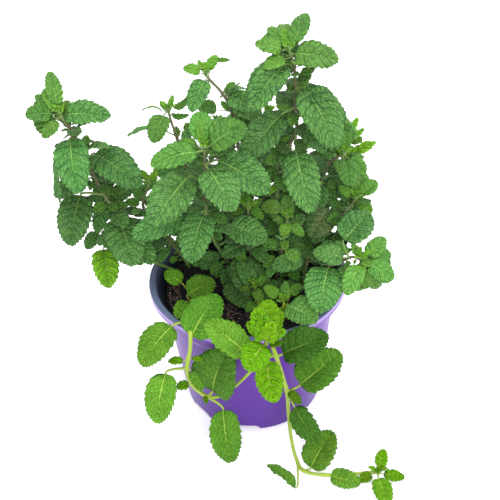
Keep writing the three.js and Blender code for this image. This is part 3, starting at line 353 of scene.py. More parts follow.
# The leafy stems, front ones first: their knots, their packed leaves and their young ones.
SHOOTS = [
    Shoot(
        "stem_front_right",
        [*rooted(284, 321), upright(284, 310, -36), upright(283, 299, -36)],
        [
            Leaf(3, 264, 286, 0.68), Leaf(3, 297, 314, 0.66, 15), Leaf(2, 317, 322, 0.85, 5, (288, 306)),
            Leaf(2, 262, 312, 0.7, 10),
        ],
        [Leaf(3, 286, 281, 0.58), Leaf(3, 279, 310, 0.6, 15), Leaf(1.6, 300, 284, 0.7, 0, (290, 296))],
        Growth.FRONT,
    ),
    Shoot(
        "stem_front_left",
        [*rooted(260, 312), upright(257, 297, -22), upright(253, 283, -22)],
        [
            Leaf(3, 262, 303, 0.66, 20), Leaf(2.6, 238, 261, 0.62), Leaf(2, 246, 312, 0.66, 15),
            Leaf(1.7, 235, 258, 0.8, -8, (262, 294)),
        ],
        [
            Leaf(3, 239, 290, 0.6, 10), Leaf(3, 266, 275, 0.58), Leaf(1.5, 238, 248, 0.8, 0, (242, 262)),
            Leaf(1.6, 223, 288, 0.8, 4), Leaf(1.7, 276, 280, 0.7, 2),
        ],
        Growth.FRONT,
    ),
    Shoot(
        "stem_trail_left",
        [
            *rooted(194, 303), level(190, 319, 102.6), level(190.5, 335, 103), level(190, 350, 92),
            upright(187, 369, -62), upright(192, 385, -61), upright(209, 397, -61), upright(226, 393, -63),
            upright(246, 376, -68), upright(257, 362, -74), upright(264, 349, -77), upright(267, 338, -79),
        ],
        [
            Leaf(12, 269, 299, 0.8, -5, arch=0.14, tone=Tone.YOUNG_WITH_PAINTED_LIGHT),
            Leaf(11.6, 246, 370, 0.92, 18, (265, 344), arch=0.12, tone=Tone.YOUNG_WITH_PAINTED_LIGHT),
            Leaf(10, 205, 322, 0.6, 6, (247, 354)), Leaf(7, 228, 348, 0.8, 4, (213, 391), tone=Tone.SHADED),
            Leaf(7, 231, 463, 0.56, 0, (223, 408)), Leaf(5, 157, 424, 0.6, 8, (166, 372)),
            Leaf(5, 203, 391, 0.45, 12, turn=35), Leaf(3, 219, 295, 0.75, -6, (191, 338)),
            Leaf(2.2, 141, 366, 0.64, 8, (173, 325)),
        ],
        [
            Leaf(12, 247, 322, 0.7, 5, arch=0.14, tone=Tone.YOUNG_WITH_PAINTED_LIGHT),
            Leaf(12, 286, 330, 0.7, 5, arch=0.14, tone=Tone.YOUNG_WITH_PAINTED_LIGHT),
            Leaf(12, 256, 308, 0.62, 16, arch=0.14, tone=Tone.YOUNG_WITH_PAINTED_LIGHT),
            Leaf(12, 281, 310, 0.62, 14, arch=0.14, tone=Tone.YOUNG_WITH_PAINTED_LIGHT),
            Leaf(12, 263, 317, 0.7, 34, arch=0.14, tone=Tone.YOUNG_WITH_PAINTED_LIGHT),
            Leaf(12, 273, 322, 0.7, 38, arch=0.14, tone=Tone.YOUNG_WITH_PAINTED_LIGHT), Leaf(11.6, 282, 343, 0.7, 20),
            Leaf(1.3, 215, 281, 0.86, -4, (187, 295)), Leaf(1.3, 165, 271, 0.8, -4, (182, 283)),
            Leaf(1.5, 177, 318, 0.7, 6, (186, 301)), Leaf(4.6, 168, 361, 0.55, 5), Leaf(4.6, 203, 359, 0.5, 5),
            Leaf(6, 176, 387, 0.75, 5), Leaf(7, 207, 404, 0.6, 10),
        ],
        Growth.TRAILING,
    ),
    Shoot(
        "stem_trail_right",
        [
            *rooted(266, 306), level(268, 323, 102.6), level(270, 338, 103), level(276, 356, 92),
            upright(282, 374, -70), upright(287, 393, -68), upright(288.5, 413, -67), level(291, 437, 16),
            level(296, 458, 3.4), level(304, 471, 1.9), level(326, 475, 1.9), level(352, 474, 1.9),
            level(372, 472, 2.6), level(379, 473, 4),
        ],
        [
            Leaf(4.1, 329, 336, 0.68, 8, tone=Tone.SHADED),
            Leaf(4.1, 275, 403, 0.64, 12, (266, 360), tone=Tone.YOUNG_WITH_PAINTED_LIGHT),
            Leaf(6, 341, 352, 0.72, 2, (299, 386)),
            Leaf(6, 319, 442, 0.55, 5, (294, 406), turn=20, tone=Tone.SHADED),
            Leaf(10, 333, 431, 0.72, -8, (310, 469)),
            Leaf(9.4, 267, 465, 0.42, 10, (296, 488), neck_height=3.5, turn=40), Leaf(11, 361, 483, 0.62),
            Leaf(14, 384, 449, 0.68, -10), Leaf(14, 405, 477, 0.55), Leaf(14, 388, 507, 0.6, 5),
            Leaf(13.6, 359, 481, 0.7),
        ],
        [Leaf(6, 301, 404, 0.6, 10)],
        Growth.TRAILING,
    ),
    Shoot(
        "stem_right_low",
        [
            *rooted(303, 289), upright(309, 259, -12), upright(331, 265, -24), upright(352, 257, -30),
            upright(364, 262, -34),
        ],
        [
            Leaf(5, 385, 237, 0.66, -5), Leaf(5, 394, 279, 0.74, 8), Leaf(5, 346, 295, 0.6, 20),
            Leaf(4, 313, 252, 0.68, 8), Leaf(4, 370, 213, 0.85, -10, (343, 241)), Leaf(3, 319, 313, 0.74, 20),
            Leaf(2, 271, 268, 0.6, 8, (303, 253)), Leaf(2, 279, 242, 0.85, -5, (299, 250)),
        ],
        [
            Leaf(4.6, 352, 243), Leaf(2, 311, 245, 0.8), Leaf(2, 307, 270, 0.6, 10), Leaf(4, 347, 268, 0.7, 8),
            Leaf(5, 361, 276, 0.8, 36), Leaf(5, 371, 266, 0.7, 34), Leaf(4.5, 362, 251, 0.6, 10),
            Leaf(3, 334, 252, 0.7, -4),
        ],
    ),
    Shoot(
        "stem_middle",
        [
            *rooted(232, 268), upright(212, 236, -14), upright(206, 207, -18), upright(205, 182, -20),
            upright(205, 163, -21), upright(204, 147, -22),
        ],
        [
            Leaf(6, 199, 111, 0.78, -8), Leaf(6, 247, 126, 0.78, 4), Leaf(6, 150, 165, 0.52, 6),
            Leaf(6, 198, 124, 0.4, 20), Leaf(4, 151, 224, 0.66, 16, (189, 176)), Leaf(5, 234, 211, 0.66, 24),
            Leaf(5, 270, 192, 0.62, 10, (217, 160)), Leaf(3, 190, 263, 0.6, 22),
            Leaf(3, 132, 236, 0.52, 4, (187, 218)), Leaf(2.4, 267, 240, 0.74, 12, (229, 224)),
            Leaf(3, 227, 222, 0.7, 15),
        ],
        [
            Leaf(6, 212, 153, 0.5, 40), Leaf(4, 223, 190, 0.5, 10), Leaf(6, 176, 146, 0.7, -6, (196, 146)),
            Leaf(6, 226, 117, 0.5, -6), Leaf(3, 206, 222, 0.6, 36), Leaf(2.4, 222, 240, 0.6, 20),
        ],
    ),
    Shoot(
        "stem_centre_right",
        [*rooted(276, 279), upright(282, 250, -16), upright(288, 215, -18)],
        [
            Leaf(3, 261, 207, 0.8, 5, (281, 209)), Leaf(3, 283, 237, 0.7, 25), Leaf(3, 304, 236, 0.55, 20),
            Leaf(2.5, 304, 214), Leaf(2.2, 262, 244, 0.7, 5), Leaf(2, 306, 246, 0.7, 15),
        ],
        [
            Leaf(3, 286, 195, 0.65, 5), Leaf(2.4, 285, 250, 0.7, 40), Leaf(2.2, 298, 262, 0.7, 14),
            Leaf(2, 278, 264, 0.7, 30), Leaf(2, 263, 266, 0.7, 4),
        ],
    ),
    Shoot(
        "stem_centre_left",
        [*rooted(252, 274), upright(250, 240, -8), upright(248, 204, -10)],
        [Leaf(3, 263, 219, 0.62, 20), Leaf(2, 222, 256, 0.7, 15), Leaf(2, 268, 262, 0.7, 15)],
        [Leaf(3, 232, 214, 0.6, 10), Leaf(3, 262, 199, 0.6, -5), Leaf(3, 243, 190, 0.6, -5)],
    ),
    Shoot(
        "stem_left_inner",
        [
            *rooted(189, 266), upright(168, 238, 12), upright(150, 220, 6), upright(143, 204, 4),
            upright(150, 182, 2),
        ],
        [
            Leaf(4, 154, 226, 0.6, 25), Leaf(4, 133, 186), Leaf(3, 173, 205, 0.6, -10), Leaf(2, 190, 246),
            Leaf(2, 160, 262, 0.5, 20),
        ],
        [Leaf(5, 140, 170), Leaf(5, 157, 170)],
    ),
    Shoot(
        "stem_left",
        [
            *rooted(181, 274), level(155, 262, 106), level(140, 248, 118), upright(116, 213, 6),
            upright(103, 193, 6), upright(94, 176, 6), upright(86, 161, 6), upright(76, 138, 6),
            upright(68, 126, 5), upright(58, 112, 4),
        ],
        [
            Leaf(10, 49, 71, 0.42, -5), Leaf(10, 25, 114, 0.78, 8), Leaf(10, 43, 138, 0.6, 20),
            Leaf(10, 35, 95, 0.5, 10), Leaf(9, 111, 116, 0.54, 4, (63, 115)),
            Leaf(8, 79, 194, 0.54, 20, (70, 138)), Leaf(8, 60, 203, 0.3, 5, (65, 147), turn=60),
            Leaf(7, 141, 187, 0.58, 12, (94, 153)), Leaf(5, 70, 246, 0.6, 20, (81, 194)),
            Leaf(5, 130, 186, 0.55), Leaf(5, 93, 213, 0.6, 15), Leaf(4, 134, 266, 0.72, 22, (118, 218)),
            Leaf(4, 95, 184), Leaf(4, 97, 233, 0.5, 25, (105, 205)), Leaf(4, 86, 249, 0.72, 10, (99, 233)),
            Leaf(4, 119, 250, 0.6, 10, (101, 237)), Leaf(4, 109, 288, 0.62, 15, (103, 248), tone=Tone.YOUNG_WITH_PAINTED_LIGHT),
            Leaf(3.6, 153, 264, 0.6, 20),
        ],
        [
            Leaf(9, 61, 131, 0.4, 10), Leaf(7.4, 87, 135, 0.7, 5, (85, 148)), Leaf(5.8, 89, 190, 0.6, 22),
            Leaf(5.8, 108, 194, 0.7, 36), Leaf(5.4, 119, 194, 0.62, 12), Leaf(5, 116, 211, 0.74, 40),
            Leaf(4.8, 99, 213, 0.62, 20), Leaf(4.6, 128, 206, 0.6, 10), Leaf(4.3, 126, 227, 0.7, 44),
            Leaf(3.4, 148, 230, 0.6, 4),
        ],
    ),
    Shoot(
        "stem_right_middle",
        [*rooted(297, 268), upright(324, 234, 6), upright(345, 212, 0), upright(357, 197, -2)],
        [
            Leaf(4, 377, 181, 0.78, -5), Leaf(4, 372, 213, 0.8, 10), Leaf(4, 339, 186, 0.6, 5),
            Leaf(3, 327, 221, 0.7, 10), Leaf(3, 329, 196, 0.6, 5),
            Leaf(2.4, 311, 238, 0.85, 18, (328, 208), tone=Tone.BRONZE), Leaf(2, 300, 244, 0.7, 10),
        ],
        [
            Leaf(4, 353, 184, 0.45, 10), Leaf(2, 338, 238), Leaf(3, 334, 226, 0.66, 34),
            Leaf(3, 352, 228, 0.62, 10), Leaf(2.4, 312, 222, 0.6, 4),
        ],
    ),
    Shoot(
        "stem_right_upper",
        [
            *rooted(290, 262), upright(309, 215, 14), upright(322, 178, 10), upright(332, 161, 8),
            upright(344, 154, 6),
        ],
        [
            Leaf(5, 366, 173, 0.75, 6), Leaf(5, 350, 186, 0.68, 15), Leaf(5, 347, 131, 0.75, -5),
            Leaf(4, 318, 138, 0.6, -5), Leaf(3, 322, 208, 0.6, 20), Leaf(3, 342, 186, 0.6, 5),
            Leaf(2, 330, 204), Leaf(2, 286, 196),
        ],
        [
            Leaf(5, 337, 142, 0.5, 15), Leaf(3, 342, 197, 0.62, 8), Leaf(3, 309, 171, 0.6, 2),
            Leaf(2.4, 320, 214, 0.66, 20),
        ],
    ),
    Shoot(
        "stem_far_right",
        [*rooted(302, 256), upright(330, 190, 36), upright(340, 165, 38), upright(347, 142, 40)],
        [
            Leaf(4, 358, 117, 0.34, tone=Tone.YOUNG_WITH_PAINTED_LIGHT), Leaf(4, 364, 128, 0.36, tone=Tone.YOUNG_WITH_PAINTED_LIGHT),
            Leaf(4, 338, 121), Leaf(3, 376, 141, 0.32, tone=Tone.YOUNG_WITH_PAINTED_LIGHT), Leaf(3, 322, 160),
            Leaf(2, 352, 186, 0.6, 10),
        ],
        [],
    ),
    Shoot(
        "stem_top",
        [
            *rooted(270, 272), upright(276, 210, 4), upright(281, 165, 6), upright(296, 130, 5),
            upright(295, 106, 4), upright(295, 87, 3), upright(294, 66, 2), upright(289, 49, 1),
        ],
        [
            Leaf(8, 307, 13, 0.52, -8), Leaf(8, 255, 43, 0.6, 4), Leaf(8, 268, 27, 0.5, -5),
            Leaf(8, 339, 60, 0.64, 6, (293, 54)), Leaf(7.6, 263, 68, 0.6, 4),
            Leaf(7, 250, 111, 0.52, 14, (286, 64)), Leaf(6, 336, 149, 0.55, 12, (304, 88)),
            Leaf(5, 242, 160, 0.55, 14, (282, 114)), Leaf(5, 291, 126, 0.7, 30),
            Leaf(4, 311, 213, 0.52, 16, (296, 151)), Leaf(4, 304, 154, 0.6, 15), Leaf(3, 262, 176, 0.6, 5),
            Leaf(3, 286, 192, 0.6, 25), Leaf(2, 270, 236, 0.6, 20),
        ],
        [
            Leaf(8, 282, 36, 0.5, 20), Leaf(7, 285, 58, 0.45, 5), Leaf(6, 311, 73, 0.6, 5),
            Leaf(6, 286, 85, 0.5, 15), Leaf(5, 276, 106, 0.5, 5), Leaf(4, 281, 141, 0.6, 10),
            Leaf(6, 346, 121, 0.5, -6, (311, 92)), Leaf(7, 247, 98, 0.5, -6, (283, 61)),
            Leaf(4.4, 327, 151, 0.62, -6, (301, 132)), Leaf(4, 307, 147, 0.62, 22), Leaf(4, 274, 152, 0.62, 4),
            Leaf(3.6, 285, 170, 0.66, 42), Leaf(3.4, 265, 164, 0.62, 2), Leaf(3, 264, 184, 0.64, 6),
            Leaf(2.9, 279, 187, 0.66, 42), Leaf(2.6, 268, 194, 0.6, 12, tone=Tone.YOUNG_WITH_PAINTED_LIGHT),
            Leaf(2.6, 293, 200, 0.6, 10), Leaf(2.3, 277, 214, 0.66, 42), Leaf(2, 264, 216, 0.6, 2),
        ],
    ),
    Shoot(
        "stem_upper_left",
        [
            *rooted(252, 258), upright(246, 190, 14), upright(237, 140, 14), upright(231, 109, 14),
            upright(222, 93, 13), upright(212, 82, 12), upright(205, 74, 12),
        ],
        [
            Leaf(7, 183, 68, 0.68, 4), Leaf(7, 217, 55), Leaf(6, 191, 112, 0.56, 14, (205, 80)),
            Leaf(5, 253, 110, 0.72, 8), Leaf(4, 198, 108, 0.85, 4, (217, 110)), Leaf(4, 252, 128, 0.6, 5),
            Leaf(3, 262, 150), Leaf(3, 222, 158, 0.6, 5),
        ],
        [
            Leaf(7, 198, 60, 0.4), Leaf(6.6, 230, 60, 0.3, 5, (214, 60), turn=40), Leaf(5, 220, 98, 0.55, 15),
            Leaf(4, 221, 101, 0.5), Leaf(4.6, 262, 117, 0.7), Leaf(3.6, 256, 141, 0.62, 4),
            Leaf(3, 223, 139, 0.6, -4),
        ],
    ),
    Shoot(
        "stem_far_left",
        [
            *rooted(222, 258), upright(205, 205, 20), upright(186, 165, 22), upright(176, 135, 22),
            upright(171, 121, 22), upright(168, 110, 22),
        ],
        [
            Leaf(6, 153, 143, 0.66, 14, (164, 115)), Leaf(6, 141, 110, 0.36, 5, turn=50, arch=0.2),
            Leaf(5, 189, 115, 0.36, 5, (171, 114), turn=50, arch=0.22),
            Leaf(4, 127, 136, 0.36, 5, (156, 128), turn=40), Leaf(3, 158, 176, 0.6, 5), Leaf(3, 208, 150),
            Leaf(2, 180, 222, 0.6, 10), Leaf(2, 230, 192),
        ],
        [
            Leaf(6, 173, 95, 0.42), Leaf(6, 160, 101, 0.5, 5),
            Leaf(6, 190, 96, 0.4, 5, (172, 107), turn=60, arch=0.22), Leaf(4, 196, 126, 0.7, 0, (183, 129)),
            Leaf(4, 176, 126),
        ],
    ),
]

# Stems at the back, which the others hide from the front.
BACK_STEMS = [
    ("stem_back_left", (-33, 36), (-50, 72, 146)),
    ("stem_back_middle", (-14, 46), (-16, 88, 168)),
    ("stem_back_right", (12, 46), (20, 84, 176)),
    ("stem_back_far_right", (29, 42), (46, 74, 150)),
    ("stem_side_right", (47, 6), (76, 28, 134)),
]
BACK_BOW = 7.0
BACK_PAIR_STEP = 28.0
BACK_FIRST_PAIR = 16.0
BACK_LEAF = 33.0
BACK_LEAF_FALL = 0.42
BACK_LEAF_SPREAD = 0.18
BACK_RISE = 24.0
BACK_RISE_SPREAD = 22.0
BACK_AZIMUTH_SPREAD = 24.0
QUARTER_TURN = 90.0
SEED = 20417


class Draw:
    """The repeatable draw between 0 and 1 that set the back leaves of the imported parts."""

    MASK = 0xFFFFFFFF

    def __init__(self, seed: int) -> None:
        """Starts the draw."""
        self.state = seed & self.MASK

    def __call__(self) -> float:
        """Mixes the bits of a counter.

        Returns:
            The next value, from 0 up to 1.
        """
        self.state = (self.state + 0x6D2B79F5) & self.MASK
        t = self.state
        t = ((t ^ (t >> 15)) * (t | 1)) & self.MASK
        t ^= (t + (((t ^ (t >> 7)) * (t | 61)) & self.MASK)) & self.MASK
        return (t ^ (t >> 14)) / 4294967296


class StemLine:
    """A stem's line: a Catmull-Rom curve through its knots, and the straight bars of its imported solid."""

    RADIUS = 1.6
    TIP_RADIUS = 0.95
    RING_STEP = 17.0
    NODE_STEP = 1.8
    FIRST_NODE = 0.6
    LENGTH_STEPS = 200

    def __init__(self, knots: Sequence[np.ndarray]) -> None:
        """Prepares the curve.

        Args:
            knots: The points that the stem passes through, from its root to its tip.
        """
        inner = np.array(knots, float)
        self.spans = len(inner) - 1
        self.knots = np.vstack((2 * inner[0] - inner[1], inner, 2 * inner[-1] - inner[-2]))
        steps = self.points(np.linspace(0, 1, self.LENGTH_STEPS + 1))
        self.length = float(np.linalg.norm(np.diff(steps, axis=0), axis=1).sum())
        first = 1 / self.spans
        count = max(2, math.floor(self.length / self.RING_STEP + 0.5))
        self.rings = np.array([0.0, *(first + (1 - first) * step / count for step in range(count + 1))])
        self.ring_points = self.points(self.rings)

    def points(self, shares: np.ndarray) -> np.ndarray:
        """Points of the curve.

        Args:
            shares: Shares of the way from the first knot to the last.

        Returns:
            One point for each share. Between two knots the curve is the cubic that leaves each knot along
            half the line between the knots on either side of it.
        """
        place = self.spans * np.asarray(shares, float)
        span = np.clip(np.floor(place).astype(int), 0, self.spans - 1)
        t = (place - span)[:, None]
        before, start, end, after = (self.knots[span + step] for step in range(4))
        leave, arrive = 0.5 * (end - before), 0.5 * (after - start)
        square = -3 * start + 3 * end - 2 * leave - arrive
        cube = 2 * start - 2 * end + leave + arrive
        return start + leave * t + square * t * t + cube * t**3

    def radius(self, shares: np.ndarray) -> np.ndarray:
        """The stem's radius, thinner towards the tip."""
        return self.RADIUS + (self.TIP_RADIUS - self.RADIUS) * shares

    def bar_centre(self, shares: np.ndarray) -> np.ndarray:
        """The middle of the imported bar, which is straight between its rings."""
        held = np.minimum(shares, self.rings[-1])
        return np.column_stack([np.interp(held, self.rings, axis) for axis in self.ring_points.T])

    def leaf_share(self, at: float, crowd: int) -> float:
        """The share of the stem where a leaf grows. Leaves of one knot grow one below another."""
        return min(1.0, at / self.spans) - (self.FIRST_NODE + crowd) * self.NODE_STEP / self.length


@dataclass(eq=False)
class Blade:
    """A placed leaf: an arched blade between its base and its tip, on a stalk from its stem."""

    shoot: int
    node: np.ndarray
    base: np.ndarray
    tip: np.ndarray
    facing: np.ndarray
    turn: float
    wide: float
    arch: float
    share: float = 0.0
    tone: Tone = Tone.PLAIN

    THICKNESS = 0.8
    FOLD = 0.34
    DROOP = 0.24
    BASE_ROUND = 0.43
    TIP_ROUND = 0.7
    ARCH_SKEW = 0.8
    SAMPLE_STEP = 2.1
    BEYOND = 0.02
    REACH_ROOM = 2.0

    def __post_init__(self) -> None:
        """Works out the blade's own directions and the points spread over it."""
        along = self.tip - self.base
        self.length = float(math.sqrt(along @ along))
        self.along = along / self.length
        flat = self.facing - self.along * float(self.facing @ self.along)
        flat /= math.sqrt(flat @ flat)
        angle = math.radians(self.turn)
        crossed = self.cross(self.along, flat)
        self.normal = flat * math.cos(angle) + crossed * math.sin(angle)
        self.side = self.cross(self.normal, self.along)
        widest_at = self.BASE_ROUND / (self.BASE_ROUND + self.TIP_ROUND)
        self.widest = widest_at**self.BASE_ROUND * (1 - widest_at) ** self.TIP_ROUND
        self.centre = self.base + self.along * self.length / 2
        self.reach = self.length * max(0.5, self.wide / 2) + self.REACH_ROOM
        self.shares, self.points = self.spread_points()

    @staticmethod
    def cross(a: np.ndarray, b: np.ndarray) -> np.ndarray:
        """The cross product of two vectors."""
        return np.array((a[1] * b[2] - a[2] * b[1], a[2] * b[0] - a[0] * b[2], a[0] * b[1] - a[1] * b[0]))

    def half_width(self, u: np.ndarray) -> np.ndarray:
        """Half the blade's width: round at the base, and widest below the middle.

        Args:
            u: Shares of its length.

        Returns:
            Half the width at each, by the product of a power of the share and a power of what is left of it.
        """
        held = np.clip(u, 0.0, 1.0)
        shape = held**self.BASE_ROUND * (1 - held) ** self.TIP_ROUND
        return 0.5 * self.wide * self.length * shape / self.widest

    def rise(self, u: np.ndarray, across: np.ndarray, half: np.ndarray) -> np.ndarray:
        """How far the blade stands off its own plane.

        Args:
            u: Shares of its length.
            across: Distances from its midrib.
            half: Half its width there.

        Returns:
            The arch along its length, plus a fold up from the midrib that turns down again towards the edge.
        """
        held = np.clip(u, 0.0, 1.0)
        share = np.minimum(1.2, np.abs(across) / np.maximum(half, 1e-9)) * (half > 0)
        arch = self.length * self.arch * np.sin(math.pi * held**self.ARCH_SKEW)
        return arch + half * (self.FOLD * share - self.DROOP * share * share)

    def at(self, u: np.ndarray, across: np.ndarray, lift: np.ndarray) -> np.ndarray:
        """Points of the blade.

        Args:
            u: Shares of its length.
            across: Distances from its midrib.
            lift: Heights over its upper face.

        Returns:
            A point for each.
        """
        height = self.rise(u, across, self.half_width(u)) + lift
        return (
            self.base
            + self.along * (self.length * u)[..., None]
            + self.side * across[..., None]
            + self.normal * height[..., None]
        )

    def spread_points(self) -> tuple[np.ndarray, np.ndarray]:
        """Points spread evenly over the blade and its stalk.

        Returns:
            Each point's share of the blade's length, below 0 on the stalk, and the points.
        """
        rows = math.ceil(self.length / self.SAMPLE_STEP)
        row_shares = np.arange(rows + 1) / rows
        halves = self.half_width(row_shares)
        columns = np.ceil(2 * halves / self.SAMPLE_STEP).astype(int)
        counts = columns + 1
        u = np.repeat(row_shares, counts)
        half = np.repeat(halves, counts)
        many = np.repeat(columns, counts)
        order = np.arange(counts.sum()) - np.repeat(np.cumsum(counts) - counts, counts)
        across = half * (2 * order / np.maximum(many, 1) - 1) * (many > 0)
        points = self.at(u, across, np.full(len(u), -self.THICKNESS / 2))
        stalk = self.base - self.node
        steps = math.ceil(math.sqrt(stalk @ stalk) / self.SAMPLE_STEP)
        if steps < 2:
            return u, points
        part = np.arange(1, steps) / steps
        return np.concatenate((u, part - 1)), np.vstack((points, self.node + stalk * part[:, None]))

    def is_met(self, shares: np.ndarray, points: np.ndarray, room: np.ndarray, free: float) -> bool:
        """Whether any of the points lies within the room round the blade.

        Args:
            shares: Each point's share of its own leaf.
            points: The points.
            room: The room kept round the blade.
            free: The share of both leaves, from the stem, that may lie close.

        Returns:
            Whether one does.
        """
        offset = points - self.base
        share = offset @ self.along / self.length
        across = offset @ self.side
        half = self.half_width(share)
        height = offset @ self.normal + self.THICKNESS / 2
        beside = (share >= free - self.BEYOND) & (share <= 1 + self.BEYOND) & (np.abs(across) <= half + room)
        near = (shares >= free) & beside
        return bool((near & (np.abs(height - self.rise(share, across, half)) < room)).any())


@dataclass(frozen=True)
class Rooms:
    """The room that a leaf keeps from other leaves, from those of its own stem, and from other stems."""

    other: float = 1.35
    own: float = 0.75
    own_free: float = 0.22
    stem: float = 0.8


CLOSE = Rooms(other=0.9, own=0.6, own_free=0.3, stem=0.5)


@dataclass(frozen=True)
class PotRoom:
    """The space round the pot, the soil and the ground that leaves stay out of."""

    floor: float = 0.55
    pot: float = 1.0

    def is_met(self, points: np.ndarray) -> bool:
        """Whether a point is too near the pot, the soil or the ground.

        Args:
            points: The points, one to a row.

        Returns:
            Whether one is.
        """
        z = points[:, 2]
        radius = np.hypot(points[:, 0], points[:, 1])
        low = z < self.floor
        in_soil = (z < SOIL_TOP + 2 * SOIL_HUMMOCK + self.pot) & (radius < wall_radius(z) + self.pot)
        lip_bottom = POT_HEIGHT - LIP_DEPTH
        inner = wall_radius(np.minimum(z, lip_bottom)) - WALL - self.pot
        outer = np.where(z > lip_bottom - self.pot, LIP_RADIUS + self.pot, wall_radius(z) + self.pot)
        in_wall = (z < POT_HEIGHT + self.pot) & (radius > inner) & (radius < outer)
        return bool((low | in_soil | in_wall).any())


LATER_COSTS = 0.21


def bends(*ranges: tuple[float, int]) -> list[Bend]:
    """The ways to bend a leaf, the smallest bends first.

    Args:
        ranges: For each way to bend it, the size of a step and the most steps either way.

    Returns:
        Each combination of bends. A later way to bend costs a little more than an earlier one.
    """
    ways = list(product(*(range(-steps, steps + 1) for _, steps in ranges)))

    def cost(way: tuple[int, ...]) -> int:
        """What a combination of bends costs, in thousandths of a step."""
        total = sum(abs(count) * (1 + index * LATER_COSTS) for index, count in enumerate(way))
        return math.floor(total * 1000 + 0.5)

    ways.sort(key=cost)
    return [tuple(count * ranges[index][0] for index, count in enumerate(way)) for way in ways]


LEAF_BENDS = bends((8, 4), (3.5, 2), (22, 2))
BACK_BENDS = bends((18, 2), (16, 2))
SHRINKS = (1.0, 0.86, 0.72)


@dataclass(eq=False)
class Stem:
    """A stem being dressed: its line, and the blades that were placed on it."""

    shoot: Shoot
    line: StemLine
    index: int
    blades: list[Blade] = field(default_factory=list)


